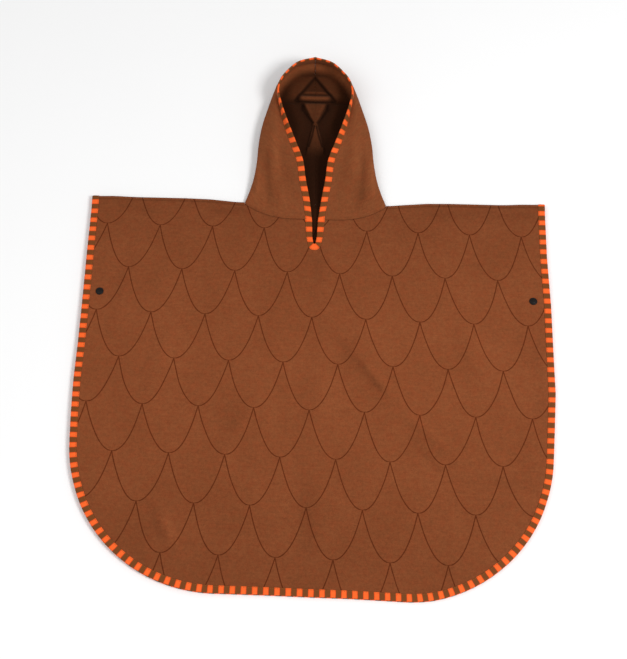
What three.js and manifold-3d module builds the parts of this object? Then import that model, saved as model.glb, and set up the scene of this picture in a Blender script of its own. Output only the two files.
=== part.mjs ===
// Hooded bath poncho, laid flat on its back with the hood opened out.
// Millimetres. X runs across, Y from hem to hood, Z up from the surface it lies on.
import * as THREE from 'three';
import { mergeVertices } from 'three/addons/utils/BufferGeometryUtils.js';
import Module from 'manifold-3d';

const wasm = await Module();
wasm.setup();

// Overall sizes
const BODY_WIDTH = 704;
const BODY_LENGTH = 621;
const HOOD_RISE = 250;
const CORNER_RADIUS = 220;
const HALF_WIDTH = BODY_WIDTH / 2;
const SHOULDER_Y = (BODY_LENGTH - HOOD_RISE) / 2;
const HEM_Y = SHOULDER_Y - BODY_LENGTH;

// Cloth and gaps
const HALF_CLOTH = 1;
const HALF_PRESSED = 0.7;
const GAP = 0.3;

// Heights of the middle of each layer
const BACK_MID = 1;
const BACK_BOUND_MID = 1.9;
const FRONT_MID = 3.3;
const FRONT_BOUND_MID = 6;
const SLIT_MID = 5;
const SHOULDER_LIFT = 0.9;
const BOUND_FLAT = 33;
const BOUND_FADE = 62;
const SHOULDER_FADE = [6, 34];

// Binding strip
const BINDING_WIDTH = 10.5;
const BINDING_INNER_LEG = 3.2;
const LEG_MIDDLE = 0.55;
const BINDING_INSIDE = 1;
const BINDING_OUTSIDE = 1.9;
const CLOTH_SETBACK = 1.3;
const ROLL_INSET = 2.9;

// Neck and slit, measured up from the shoulder line
const NECK_CENTRE_X = -5;
const HOOD_LEAN = 0.025;
const NECK_HALF = 110;
const NECK_DROP = 33.5;
const NECK_SIDE_DROP = 9;
const NECK_POWER = 3.4;
const BACK_NECK_DROP = 13;
const NECK_INSET = 0.35;
const SLIT_FADE = [20, 48];
const SLIT_TIP_UP = -74.5;
const CUT_LOW = -5;
const CUT_HIGH = 25;

// Height of the shoulder line above its mean, by distance from the middle
const SHOULDER_LINE = [
  { x: 112, up: -5 },
  { x: 131, up: -3 },
  { x: 168, up: 0.5 },
  { x: 206, up: 1.5 },
  { x: 280, up: 1.5 },
  { x: 316, up: 2.5 },
  { x: 352, up: 3 },
];

// Gap and outer edge of the slit's binding
const SLIT = [
  { up: -73, gap: 1.8, outer: 10.8 },
  { up: -64, gap: 3.2, outer: 12.4 },
  { up: -54, gap: 3.7, outer: 13.4 },
  { up: -44, gap: 4.1, outer: 14.3 },
  { up: -35, gap: 4.5, outer: 14.9 },
];

// Fold of the binding round the foot of the slit
const SLIT_FOOT = [
  { gapX: 0, gapUp: -75.7, x: 0, up: -84.5 },
  { gapX: 0.6, gapUp: -75.5, x: 6.5, up: -84 },
  { gapX: 1.3, gapUp: -74.7, x: 9.7, up: -79 },
];

// Hood sections from the neck to the crown: the rim of the opening, the outer fold and the
// place where each section ends on the back seam
const HOOD_KEYS = [
  'rim', 'rimUp', 'rimZ', 'slope', 'fold',
  'foldUp', 'foldZ', 'top', 'reach', 'seamUp',
];
const HOOD = [
  [4.6, -33.5, 5, 0, 109.5, -6.3, 2.6, 4.2, 2, -12.7],
  [9, -1, 10.5, 5, 103, 9, 5.5, 10, 9, 4],
  [15.2, 31, 19, 10, 96, 31, 9, 17, 15, 18],
  [19.6, 62, 24.5, 18, 91, 62, 11.5, 21.5, 19, 34],
  [31.8, 95, 29, 31, 88.5, 95, 13, 24, 21, 52],
  [44, 128, 32, 55, 83.5, 127, 13.5, 24.5, 20, 70],
  [54, 158, 34.5, 78, 75.5, 157, 13.5, 24, 18, 86],
  [59, 183, 36.5, 84, 66.5, 187, 13.5, 22.5, 16, 98],
  [54, 203, 38, 83, 57, 212, 14, 22, 16, 106],
  [44, 217, 39, 81, 46, 227, 15, 22.5, 16, 111],
  [27, 233.5, 39.5, 80, 28, 242, 15, 23, 16, 114],
  [0, 242, 40, 80, 0, 249, 15, 23, 16, 116],
].map((row) => Object.fromEntries(HOOD_KEYS.map((key, k) => [key, row[k]])));
const RIM_REACH = 11;

// Creases on the hood's back: a roll across it, two lobes beside a recess above the roll, and a
// facet below it that narrows to a waist
const ROLL_UP = 187;
const RECESS_TIP_UP = 227;
const RECESS_SPREAD = 0.74;
const WAIST = [
  { up: 86, half: 12.5 },
  { up: 96, half: 11 },
  { up: 134, half: 1.8 },
  { up: 141, half: 1.8 },
  { up: 178, half: 17.5 },
  { up: 188, half: 18 },
];

// Soft waves of the front panel
const WAVES = [
  { x: -150, up: -34, along: 60, across: 14, turn: 20, rise: 2.2 },
  { x: 146, up: -36, along: 60, across: 14, turn: -20, rise: 2.2 },
  { x: -262, up: -60, along: 80, across: 22, turn: 4, rise: 1.4 },
  { x: 262, up: -58, along: 80, across: 22, turn: -4, rise: 1.4 },
  { x: -60, up: -230, along: 150, across: 34, turn: 70, rise: 1.6 },
  { x: 90, up: -300, along: 170, across: 36, turn: 105, rise: 1.6 },
  { x: 0, up: -470, along: 150, across: 30, turn: 5, rise: 1.5 },
  { x: 6, up: -330, along: 260, across: 22, turn: 90, rise: 1.8 },
];

// How far each side of the laid body lies outside its true outline, by height
const SIDE_SHIFT = [
  { up: -621, left: -2, right: -3 },
  { up: -540, left: -2.9, right: -5.2 },
  { up: -470, left: -3.8, right: -6.6 },
  { up: -410, left: -3, right: -5.8 },
  { up: -360, left: -0.7, right: -2 },
  { up: -310, left: 0.4, right: 1.5 },
  { up: -250, left: -0.8, right: 1.3 },
  { up: -170, left: -1, right: 1.3 },
  { up: -90, left: -0.8, right: -1.2 },
  { up: -20, left: -1.2, right: -1.1 },
  { up: 20, left: 0, right: 0 },
];
const SIDE_SHIFT_FADE = 190;

// How far the laid hem and the laid shoulders sag, by distance across
const HEM_SAG = [
  { x: -352, drop: -2 },
  { x: -200, drop: -1.9 },
  { x: -130, drop: -1.7 },
  { x: -60, drop: -1 },
  { x: 0, drop: 0.2 },
  { x: 60, drop: 1 },
  { x: 130, drop: 3.3 },
  { x: 175, drop: 5 },
  { x: 220, drop: 4.6 },
  { x: 270, drop: 4.2 },
  { x: 352, drop: 5.6 },
];
const SHOULDER_SAG = [
  { x: -352, drop: 4.5 },
  { x: -320, drop: 3 },
  { x: -290, drop: 2 },
  { x: -130, drop: 1.6 },
  { x: -110, drop: 0 },
];
const SHOULDER_SAG_FADE = 90;

// Shift that brings the middle of the laid garment to the origin
const LAID_CENTRE = { x: 0.75, y: -1.7 };

// Grid positions
const ARC_STEP = 10;
const MIDDLE_COLUMNS = [-112, -92, -70, -48, -30, -18, 0, 18, 30, 48, 70, 92, 112];
const BACK_MIDDLE_COLUMNS = [-108, -60, 0, 60, 108];
const HEM_ROWS = [0, 14, 33, 48, 62];
const MIDDLE_STEPS = 4;
const UPPER_ROWS = [-130, -106, -88, -66, -46, -30, -18];
const ROLL_ANGLES = [90, 55, 25, 0];
const HOOD_ROWS = 26;
const SEAM_HALF_GAP = 0.15;

// Snap fasteners
const SNAPS = [
  { word: 'left', x: -327, up: -166.4 },
  { word: 'right', x: 325.5, up: -163.4 },
];
const SNAP_RADIUS = 6;
const SNAP_SIDES = 18;

const { smoothstep, lerp, degToRad } = THREE.MathUtils;
const fade = (value, start, end) => 1 - smoothstep(value, start, end);

// A value read from a table by straight steps between its rows.
function readTable(rows, key, column, at) {
  if (at <= rows[0][key]) return rows[0][column];
  for (let i = 1; i < rows.length; i++) {
    if (at <= rows[i][key]) {
      const share = (at - rows[i - 1][key]) / (rows[i][key] - rows[i - 1][key]);
      return lerp(rows[i - 1][column], rows[i][column], share);
    }
  }
  return rows[rows.length - 1][column];
}

// Distance in from the sides, lower corners and hem.
function insetAt(x, y) {
  const fromSide = HALF_WIDTH - Math.abs(x);
  const fromHem = y - HEM_Y;
  const overX = CORNER_RADIUS - fromSide;
  const overY = CORNER_RADIUS - fromHem;
  if (overX > 0 && overY > 0) return CORNER_RADIUS - Math.hypot(overX, overY);
  return Math.min(fromSide, fromHem);
}

// Centre line of the rolled shoulder edge.
function rollY(x) {
  return SHOULDER_Y + readTable(SHOULDER_LINE, 'x', 'up', Math.abs(x)) - ROLL_INSET;
}

const boundShare = (x, y) => fade(insetAt(x, y), BOUND_FLAT, BOUND_FADE);

function slitShare(x, y) {
  const up = y - SHOULDER_Y;
  const nearest = Math.min(Math.max(up, SLIT_TIP_UP), -20);
  return fade(Math.hypot(x - NECK_CENTRE_X, up - nearest), ...SLIT_FADE);
}

function waveHeight(x, y) {
  let height = 0;
  for (const wave of WAVES) {
    const angle = degToRad(wave.turn);
    const dx = x - wave.x;
    const dy = y - SHOULDER_Y - wave.up;
    const along = (dx * Math.cos(angle) + dy * Math.sin(angle)) / wave.along;
    const across = (dy * Math.cos(angle) - dx * Math.sin(angle)) / wave.across;
    height += wave.rise * Math.exp(-along * along - across * across);
  }
  return height;
}

function frontMid(x, y) {
  const bound = boundShare(x, y);
  const slit = slitShare(x, y) * (1 - bound);
  const shoulder = fade(rollY(x) - y, ...SHOULDER_FADE);
  const open = (1 - bound) * (1 - slit);
  return FRONT_MID + (FRONT_BOUND_MID - FRONT_MID) * bound + (SLIT_MID - FRONT_MID) * slit
    + open * (SHOULDER_LIFT * shoulder + waveHeight(x, y) * (1 - shoulder));
}

const backMid = (x, y) => lerp(BACK_MID, BACK_BOUND_MID, boundShare(x, y));

function frontHalf(x, y) {
  return lerp(HALF_CLOTH, HALF_PRESSED, Math.max(boundShare(x, y), slitShare(x, y)));
}

const backHalf = (x, y) => lerp(HALF_CLOTH, HALF_PRESSED, boundShare(x, y));

// Where the shoulder edge rolls over between the front and the back.
function shoulderRoll(x) {
  const y = rollY(x);
  const front = frontMid(x, y);
  const back = backMid(x, y);
  return { y, z: (front + back) / 2, radius: (front - back) / 2 };
}

// A closed shell from a grid of middle points, with the outside on the normal's side.
function shellGeometry(grid) {
  const rows = grid.length;
  const columns = grid[0].length;
  const count = rows * columns;
  const positions = [];
  for (const side of [1, -1]) {
    for (const row of grid) {
      for (const knot of row) {
        const place = knot.mid.clone().addScaledVector(knot.normal, side * knot.half);
        if (knot.limit) knot.limit(place);
        positions.push(place.x, place.y, place.z);
      }
    }
  }
  const index = [];
  const at = (side, r, c) => side * count + r * columns + c;
  const quad = (a, b, c, d) => index.push(a, b, c, a, c, d);
  for (let r = 0; r + 1 < rows; r++) {
    for (let c = 0; c + 1 < columns; c++) {
      quad(at(0, r, c), at(0, r, c + 1), at(0, r + 1, c + 1), at(0, r + 1, c));
      quad(at(1, r, c), at(1, r + 1, c), at(1, r + 1, c + 1), at(1, r, c + 1));
    }
  }
  const edge = [];
  for (let c = 0; c < columns; c++) edge.push([0, c]);
  for (let r = 1; r < rows; r++) edge.push([r, columns - 1]);
  for (let c = columns - 2; c >= 0; c--) edge.push([rows - 1, c]);
  for (let r = rows - 2; r >= 0; r--) edge.push([r, 0]);
  for (let i = 0; i + 1 < edge.length; i++) {
    const [r0, c0] = edge[i];
    const [r1, c1] = edge[i + 1];
    quad(at(1, r0, c0), at(1, r1, c1), at(0, r1, c1), at(0, r0, c0));
  }
  const geometry = new THREE.BufferGeometry();
  geometry.setAttribute('position', new THREE.Float32BufferAttribute(positions, 3));
  geometry.setIndex(index);
  return geometry;
}

// A closed loop of sections, each a ring of points in the same order.
function loopGeometry(rings) {
  const size = rings[0].length;
  const positions = rings.flatMap((ring) => ring.flatMap((p) => [p.x, p.y, p.z]));
  const index = [];
  for (let i = 0; i < rings.length; i++) {
    const next = (i + 1) % rings.length;
    for (let k = 0; k < size; k++) {
      const other = (k + 1) % size;
      const a = i * size + k;
      const b = next * size + k;
      const c = next * size + other;
      const d = i * size + other;
      index.push(a, b, c, a, c, d);
    }
  }
  const geometry = new THREE.BufferGeometry();
  geometry.setAttribute('position', new THREE.Float32BufferAttribute(positions, 3));
  geometry.setIndex(index);
  return geometry;
}

function toSolid(geometry) {
  const bare = geometry.clone();
  bare.deleteAttribute('normal');
  bare.deleteAttribute('uv');
  const merged = mergeVertices(bare, 1e-5);
  return new wasm.Manifold(new wasm.Mesh({
    numProp: 3,
    vertProperties: new Float32Array(merged.attributes.position.array),
    triVerts: new Uint32Array(merged.index.array),
  }));
}

function toGeometry(solid) {
  const mesh = solid.getMesh();
  const geometry = new THREE.BufferGeometry();
  geometry.setAttribute('position', new THREE.BufferAttribute(mesh.vertProperties, 3));
  geometry.setIndex(new THREE.BufferAttribute(mesh.triVerts, 1));
  return geometry;
}

// Columns of a body panel: across one lower corner, the middle and the other corner.
function panelColumns(middle) {
  const radius = CORNER_RADIUS - CLOTH_SETBACK;
  const columns = [];
  for (let angle = 0; angle <= 90; angle += ARC_STEP) {
    const turn = degToRad(angle);
    columns.push({
      x: HALF_WIDTH - CORNER_RADIUS + radius * Math.cos(turn),
      foot: HEM_Y + CORNER_RADIUS - radius * Math.sin(turn),
    });
  }
  const left = columns.map((column) => ({ x: -column.x, foot: column.foot }));
  const between = middle.map((x) => ({ x: NECK_CENTRE_X + x, foot: HEM_Y + CLOTH_SETBACK }));
  return [...left, ...between, ...columns.reverse()];
}

// Heights of the rows of a column that starts at its foot.
function columnHeights(foot) {
  const heights = HEM_ROWS.map((inset) => foot + inset);
  const low = heights[heights.length - 1];
  const high = SHOULDER_Y + UPPER_ROWS[0];
  for (let i = 1; i < MIDDLE_STEPS; i++) heights.push(lerp(low, high, i / MIDDLE_STEPS));
  for (const up of UPPER_ROWS) heights.push(SHOULDER_Y + up);
  return heights;
}

function panelGrid(middle, midAt, halfAt, front) {
  const outward = front ? 1 : -1;
  const columns = panelColumns(middle);
  const grid = columns.map(({ x, foot }) => {
    const knots = columnHeights(foot).map((y) => ({
      mid: new THREE.Vector3(x, y, midAt(x, y)),
      normal: new THREE.Vector3(0, 0, outward),
      half: halfAt(x, y),
    }));
    const roll = shoulderRoll(x);
    const half = halfAt(x, roll.y);
    for (const angle of ROLL_ANGLES) {
      const turn = degToRad(angle);
      const normal = new THREE.Vector3(0, Math.cos(turn), outward * Math.sin(turn));
      const mid = new THREE.Vector3(x, roll.y, roll.z).addScaledVector(normal, roll.radius);
      const limit = (place) => {
        const split = roll.z + outward * SEAM_HALF_GAP;
        place.z = front ? Math.max(place.z, split) : Math.min(place.z, split);
      };
      knots.push({ mid, normal, half, limit });
    }
    return knots;
  });
  return front ? grid.reverse() : grid;
}

// Stops across a hood section: rim, beside the binding, flap, fold top, fold, floor and seam.
function hoodStops(row) {
  const rim = new THREE.Vector3(row.rim, row.rimUp, row.rimZ);
  const fold = new THREE.Vector3(row.fold, row.foldUp, row.foldZ);
  const out = new THREE.Vector3(row.fold - row.rim, row.foldUp - row.rimUp, 0).normalize();
  const slope = degToRad(row.slope);
  const beside = rim.clone().addScaledVector(out, RIM_REACH * Math.cos(slope));
  beside.z -= RIM_REACH * Math.sin(slope);
  const span = Math.hypot(beside.x - fold.x, beside.y - fold.y);
  const foldTop = fold.clone().lerp(beside, Math.min(0.6, row.reach / span));
  foldTop.z = row.top;
  const flap = beside.clone().lerp(foldTop, 0.5);
  const seam = new THREE.Vector3(0, row.seamUp, BACK_MID);
  const length = Math.hypot(seam.x - fold.x, seam.y - fold.y);
  const floor = fold.clone().lerp(seam, row.reach / length);
  floor.z = BACK_MID;
  return [rim, beside, flap, foldTop, fold, floor, seam];
}

const stopsByRow = HOOD.map(hoodStops);
const HOOD_RAILS = stopsByRow[0].map((stop, k) => (
  new THREE.CatmullRomCurve3(stopsByRow.map((stops) => stops[k]))
));
const LAST_STOP = HOOD_RAILS.length - 1;
const FOLD_STOP = 4;
const FLOOR_STOP = 5;

function hoodCrease(x, up) {
  const away = Math.abs(x);
  const rise = Math.exp(-(((up - ROLL_UP) / 6) ** 2)) * fade(away, 22, 32);
  const beside = smoothstep(away - (RECESS_TIP_UP - up) * RECESS_SPREAD, -2, 2.5);
  const lobe = beside * fade(away, 34, 60) * smoothstep(up, 178, 194) * fade(up, 226, 238);
  const waist = readTable(WAIST, 'up', 'half', up);
  const reachesUp = smoothstep(up, 78, 100) * fade(up, 174, 181);
  const facet = fade(away, waist, waist + 4) * reachesUp;
  const bank = Math.exp(-(((away - waist - 22) / 11) ** 2)) * reachesUp;
  return 6.5 * rise + 6 * lobe + 5.5 * facet + 3.5 * bank;
}

// The neck's drop below the shoulder line at a distance from its middle.
function neckDrop(x) {
  const share = Math.min(Math.abs(x) / NECK_HALF, 1) ** NECK_POWER;
  return lerp(NECK_DROP, NECK_SIDE_DROP, share);
}

function backNeckDrop(x) {
  return lerp(BACK_NECK_DROP, NECK_SIDE_DROP, Math.min(Math.abs(x) / NECK_HALF, 1) ** 2);
}

// A middle point of the hood's right half. along goes from neck to crown, across from rim to seam.
function hoodMid(along, across) {
  const stops = HOOD_RAILS.map((rail) => rail.getPoint(along));
  const place = new THREE.CatmullRomCurve3(stops).getPoint(across / LAST_STOP);
  place.x = Math.max(place.x, SEAM_HALF_GAP);
  place.z = Math.max(place.z, BACK_MID);
  place.z += hoodCrease(place.x, place.y) * smoothstep(across, 4.6, 5.4);
  return place;
}

// The hood's lower edge, which follows the neck of the panels and rolls over with the shoulder.
function neckEdge(across) {
  const x = Math.min(hoodMid(0, across).x, NECK_HALF - 0.4);
  const roll = shoulderRoll(x + NECK_CENTRE_X);
  if (across > FOLD_STOP - 1 && across < FLOOR_STOP) {
    const turn = (FOLD_STOP - across) * Math.PI / 2;
    const normal = new THREE.Vector3(0, Math.cos(turn), Math.sin(turn));
    const centre = new THREE.Vector3(NECK_HALF - 0.4, roll.y - SHOULDER_Y, roll.z);
    return { mid: centre.addScaledVector(normal, roll.radius), normal };
  }
  const front = across < FOLD_STOP;
  const up = NECK_INSET - (front ? neckDrop(x) : backNeckDrop(x));
  const z = front ? frontMid(x + NECK_CENTRE_X, up + SHOULDER_Y) : BACK_MID;
  return {
    mid: new THREE.Vector3(x, up, z),
    normal: new THREE.Vector3(0, 0, front ? 1 : -1),
  };
}

function hoodKnot(along, across) {
  const half = lerp(HALF_PRESSED, HALF_CLOTH, smoothstep(across, 1, 2));
  if (along === 0) return { ...neckEdge(across), half };
  const step = 0.004;
  const bit = 0.03;
  const mid = hoodMid(along, across);
  const alongDir = hoodMid(Math.min(along + step, 1), across)
    .sub(hoodMid(along - step, across));
  const acrossDir = hoodMid(along, Math.min(across + bit, LAST_STOP))
    .sub(hoodMid(along, Math.max(across - bit, 0)));
  const normal = acrossDir.cross(alongDir).normalize();
  normal.lerp(new THREE.Vector3(0, 0, -1), smoothstep(across, 4.7, 5.2));
  if (along === 1 || across === LAST_STOP) normal.x = 0;
  normal.normalize();
  return { mid, normal, half };
}

const leanX = (up) => NECK_CENTRE_X - HOOD_LEAN * Math.max(up, 0);

// Places a point of the hood's right half, or its mirror image, on the garment.
function placeHood(point, side) {
  return new THREE.Vector3(side * point.x + leanX(point.y), point.y + SHOULDER_Y, point.z);
}

const rimStops = [CLOTH_SETBACK, BINDING_WIDTH * LEG_MIDDLE, BINDING_WIDTH]
  .map((inward) => inward / RIM_REACH);
const HOOD_ACROSS = [
  ...rimStops, 1.5, 2, 2.5, 3, 3.33, 3.67, 4, 4.33, 4.67, 5,
  ...[1, 2, 3, 4, 5, 6, 7, 8, 9].map((i) => 5 + i / 9),
];
const HOOD_ALONG = Array.from({ length: HOOD_ROWS + 1 }, (_, i) => i / HOOD_ROWS);

function hoodGrid(side) {
  const grid = HOOD_ALONG.map((along) => HOOD_ACROSS.map((across) => {
    const knot = hoodKnot(along, across);
    const normal = knot.normal.clone();
    normal.x *= side;
    const limit = (place) => {
      const seam = side > 0 ? Math.max : Math.min;
      place.x = seam(place.x, leanX(place.y - SHOULDER_Y) + side * SEAM_HALF_GAP);
      place.z = Math.max(place.z, 0);
    };
    return { mid: placeHood(knot.mid, side), normal, half: knot.half, limit };
  }));
  return side > 0 ? grid : grid.reverse();
}

// Prism of the opening cut out of a panel: the neck and, for the front, the slit.
function openingPrism(outline, low, high) {
  const shape = new THREE.Shape(outline.map((p) => new THREE.Vector2(p.x, p.y + SHOULDER_Y)));
  const geometry = new THREE.ExtrudeGeometry(shape, { depth: high - low, bevelEnabled: false });
  return geometry.translate(NECK_CENTRE_X, 0, low);
}

// Cut edge of the cloth beside the slit, on the right, from its foot up.
function slitCloth() {
  const rows = [...SLIT_FOOT.map((row) => [row.gapX, row.gapUp, row.x, row.up])];
  for (const row of SLIT) rows.push([row.gap, row.up, row.outer, row.up]);
  return rows.map(([gapX, gapUp, x, up]) => {
    const share = CLOTH_SETBACK / Math.hypot(x - gapX, up - gapUp);
    return new THREE.Vector2(lerp(gapX, x, share), lerp(gapUp, up, share));
  });
}

function neckOutline(front) {
  const edge = HOOD_ACROSS.filter((a) => (front ? a <= FOLD_STOP - 1 : a >= FLOOR_STOP));
  const half = edge.map((across) => {
    const { mid } = neckEdge(across);
    return new THREE.Vector2(mid.x, mid.y - NECK_INSET);
  });
  if (front) half.unshift(...slitCloth());
  else half.reverse()[0].x = 0;
  half.push(new THREE.Vector2(NECK_HALF, -NECK_SIDE_DROP), new THREE.Vector2(NECK_HALF, 20));
  const mirrored = half.filter((p) => p.x > 0).map((p) => new THREE.Vector2(-p.x, p.y));
  return [...half, ...mirrored.reverse()];
}

// Ring of the binding: the outer leg, the turned edge and the short inner leg.
function bindingRing(reach, frameAt) {
  const section = [
    [reach, BINDING_INSIDE], [reach, BINDING_OUTSIDE], [reach * LEG_MIDDLE, BINDING_OUTSIDE],
    [CLOTH_SETBACK, BINDING_OUTSIDE], [0.4, 1.4], [0, 0], [0.4, -1.4],
    [CLOTH_SETBACK, -BINDING_OUTSIDE], [BINDING_INNER_LEG, -BINDING_OUTSIDE],
    [BINDING_INNER_LEG, -BINDING_INSIDE], [BINDING_INSIDE, -BINDING_INSIDE],
    [BINDING_INSIDE, BINDING_INSIDE], [reach * LEG_MIDDLE, BINDING_INSIDE],
  ];
  return section.map(([inward, outward]) => {
    const { mid, normal } = frameAt(inward);
    return mid.clone().addScaledVector(normal, outward);
  });
}

// Binding round the body: down one side, along the hem, up the other side and back underneath.
function edgeRings() {
  const right = [];
  const top = rollY(HALF_WIDTH);
  const corner = HEM_Y + CORNER_RADIUS;
  const side = [...columnHeights(corner).slice(1), top].reverse();
  for (const y of side) right.push({ x: HALF_WIDTH, y, angle: 0 });
  for (let angle = 0; angle <= 90; angle += ARC_STEP) {
    const turn = degToRad(angle);
    right.push({
      x: HALF_WIDTH - CORNER_RADIUS + CORNER_RADIUS * Math.cos(turn),
      y: corner - CORNER_RADIUS * Math.sin(turn),
      angle,
    });
  }
  const left = right.map((p) => ({ x: -p.x, y: p.y, angle: 180 - p.angle })).reverse();
  const outline = [...right, ...left];
  const flat = (place, z, outward) => bindingRing(BINDING_WIDTH, (inward) => {
    const turn = degToRad(place.angle);
    return {
      mid: new THREE.Vector3(
        place.x - inward * Math.cos(turn), place.y + inward * Math.sin(turn), z,
      ),
      normal: new THREE.Vector3(0, 0, outward),
    };
  });
  const rolled = (side, angle) => bindingRing(BINDING_WIDTH, (inward) => {
    const roll = shoulderRoll(side * HALF_WIDTH);
    const turn = degToRad(angle);
    const normal = new THREE.Vector3(0, Math.cos(turn), Math.sin(turn));
    const centre = new THREE.Vector3(side * (HALF_WIDTH - inward), roll.y, roll.z);
    return { mid: centre.addScaledVector(normal, roll.radius), normal };
  });
  const turns = [60, 30, 0, -30, -60];
  return [
    ...outline.map((place) => flat(place, FRONT_BOUND_MID, 1)),
    ...turns.map((angle) => rolled(-1, angle)),
    ...[...outline].reverse().map((place) => flat(place, BACK_BOUND_MID, -1)),
    ...turns.map((angle) => rolled(1, -angle)),
  ];
}

// Binding round the hood's opening and down both sides of the slit.
function openingRings() {
  const slitRing = (gapX, gapUp, x, up, side) => {
    const reach = Math.hypot(x - gapX, up - gapUp);
    return bindingRing(reach, (inward) => ({
      mid: new THREE.Vector3(
        NECK_CENTRE_X + side * lerp(gapX, x, inward / reach),
        SHOULDER_Y + lerp(gapUp, up, inward / reach),
        SLIT_MID,
      ),
      normal: new THREE.Vector3(0, 0, 1),
    }));
  };
  const hoodRing = (along, side) => bindingRing(BINDING_WIDTH, (inward) => {
    const { mid, normal } = hoodKnot(along, inward / RIM_REACH);
    if (along === 1) mid.x = 0;
    const turned = normal.clone();
    turned.x *= side;
    return { mid: placeHood(mid, side), normal: turned };
  });
  const halfLoop = (side) => [
    ...SLIT_FOOT.map((row) => slitRing(row.gapX, row.gapUp, row.x, row.up, side)),
    ...SLIT.map((row) => slitRing(row.gap, row.up, row.outer, row.up, side)),
    ...HOOD_ALONG.map((along) => hoodRing(along, side)),
  ];
  const right = halfLoop(1);
  const left = halfLoop(-1).slice(1, -1).reverse();
  return [...right, ...left];
}

// Snap pieces, each turned about its own upright axis.
function turned(profile) {
  return new THREE.LatheGeometry(profile.map(([r, z]) => new THREE.Vector2(r, z)), SNAP_SIDES)
    .rotateX(Math.PI / 2);
}

const FRONT_FACE = FRONT_BOUND_MID + HALF_PRESSED;
const FRONT_INNER = FRONT_BOUND_MID - HALF_PRESSED;
const BACK_INNER = BACK_BOUND_MID + HALF_PRESSED;
const BACK_FACE = BACK_BOUND_MID - HALF_PRESSED;
const PIN_RADIUS = 1.2;

const capProfile = [
  [0, FRONT_INNER], [PIN_RADIUS, FRONT_INNER], [PIN_RADIUS, FRONT_FACE + GAP],
  [SNAP_RADIUS - 0.3, FRONT_FACE + GAP], [SNAP_RADIUS, FRONT_FACE + GAP + 0.4],
  [SNAP_RADIUS - 0.5, FRONT_FACE + 1.5], [3.2, FRONT_FACE + 2.1], [0, FRONT_FACE + 2.3],
];
const socketProfile = [
  [0, 4.6], [2.5, 4.6], [2.5, FRONT_INNER - 1.5], [5, FRONT_INNER - 1.5],
  [5, FRONT_INNER - GAP], [0, FRONT_INNER - GAP],
];
const studProfile = [
  [0, BACK_INNER + GAP], [5, BACK_INNER + GAP], [5, BACK_INNER + 0.9],
  [2.1, BACK_INNER + 0.9], [2.1, 4.3], [0, 4.3],
];
const backCapProfile = [
  [0, 0], [SNAP_RADIUS - 0.3, 0], [SNAP_RADIUS, 0.4], [SNAP_RADIUS - 0.3, BACK_FACE - GAP],
  [PIN_RADIUS, BACK_FACE - GAP], [PIN_RADIUS, BACK_INNER], [0, BACK_INNER],
];

function pinHole(snap) {
  return toSolid(new THREE.CylinderGeometry(PIN_RADIUS + GAP, PIN_RADIUS + GAP, 20, 12)
    .rotateX(Math.PI / 2)
    .translate(snap.x, SHOULDER_Y + snap.up, 0));
}

function cutPanel(geometry, prism) {
  let solid = toSolid(geometry).subtract(toSolid(prism));
  for (const snap of SNAPS) solid = solid.subtract(pinHole(snap));
  return toGeometry(solid);
}

// Moves a point of the body to where it lies once the garment has been laid out.
function settle(point) {
  const up = point.y - SHOULDER_Y;
  const right = point.x > 0;
  const shift = readTable(SIDE_SHIFT, 'up', right ? 'right' : 'left', up);
  const share = smoothstep(Math.abs(point.x), 0, SIDE_SHIFT_FADE);
  const low = THREE.MathUtils.clamp(-up / BODY_LENGTH, 0, 1);
  const high = fade(-up, 0, SHOULDER_SAG_FADE) * smoothstep(-up, -40, 0);
  const drop = readTable(HEM_SAG, 'x', 'drop', point.x) * low
    + readTable(SHOULDER_SAG, 'x', 'drop', point.x) * high;
  return new THREE.Vector3(
    point.x + (right ? shift : -shift) * share, point.y - drop, point.z,
  );
}

// Materials
const cloth = (color) => new THREE.MeshStandardMaterial({ color, roughness: 0.92, metalness: 0 });
const bodyCloth = cloth(0x84492b);
const hoodCloth = cloth(0x7a4325);
const stripCloth = cloth(0xd8652f);
const snapPlastic = new THREE.MeshStandardMaterial({
  color: 0x17171a,
  roughness: 0.35,
  metalness: 0,
});

const poncho = new THREE.Group();
poncho.position.set(-LAID_CENTRE.x, -LAID_CENTRE.y, 0);

function addPart(name, geometry, material) {
  const mesh = new THREE.Mesh(geometry, material);
  mesh.name = name;
  poncho.add(mesh);
}

function addSettled(name, geometry, material) {
  const places = geometry.getAttribute('position');
  for (let i = 0; i < places.count; i++) {
    const place = settle(new THREE.Vector3().fromBufferAttribute(places, i));
    places.setXYZ(i, place.x, place.y, place.z);
  }
  addPart(name, geometry, material);
}

const frontShell = shellGeometry(panelGrid(MIDDLE_COLUMNS, frontMid, frontHalf, true));
const backShell = shellGeometry(panelGrid(BACK_MIDDLE_COLUMNS, backMid, backHalf, false));
const frontPrism = openingPrism(neckOutline(true), CUT_LOW, CUT_HIGH);
const backPrism = openingPrism(neckOutline(false), CUT_LOW, CUT_HIGH);
addSettled('body_front', cutPanel(frontShell, frontPrism), bodyCloth);
addSettled('body_back', cutPanel(backShell, backPrism), bodyCloth);
addSettled('hood_right', shellGeometry(hoodGrid(1)), hoodCloth);
addSettled('hood_left', shellGeometry(hoodGrid(-1)), hoodCloth);
addSettled('binding_edge', loopGeometry(edgeRings()), stripCloth);
addSettled('binding_opening', loopGeometry(openingRings()), stripCloth);

for (const { word, x, up } of SNAPS) {
  const pieces = {
    cap: capProfile,
    socket: socketProfile,
    stud: studProfile,
    back_cap: backCapProfile,
  };
  const centre = settle(new THREE.Vector3(x, SHOULDER_Y + up, 0));
  for (const [piece, profile] of Object.entries(pieces)) {
    const geometry = turned(profile).translate(centre.x, centre.y, 0);
    addPart(`snap_${word}_${piece}`, geometry, snapPlastic);
  }
}

export default poncho;
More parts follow.
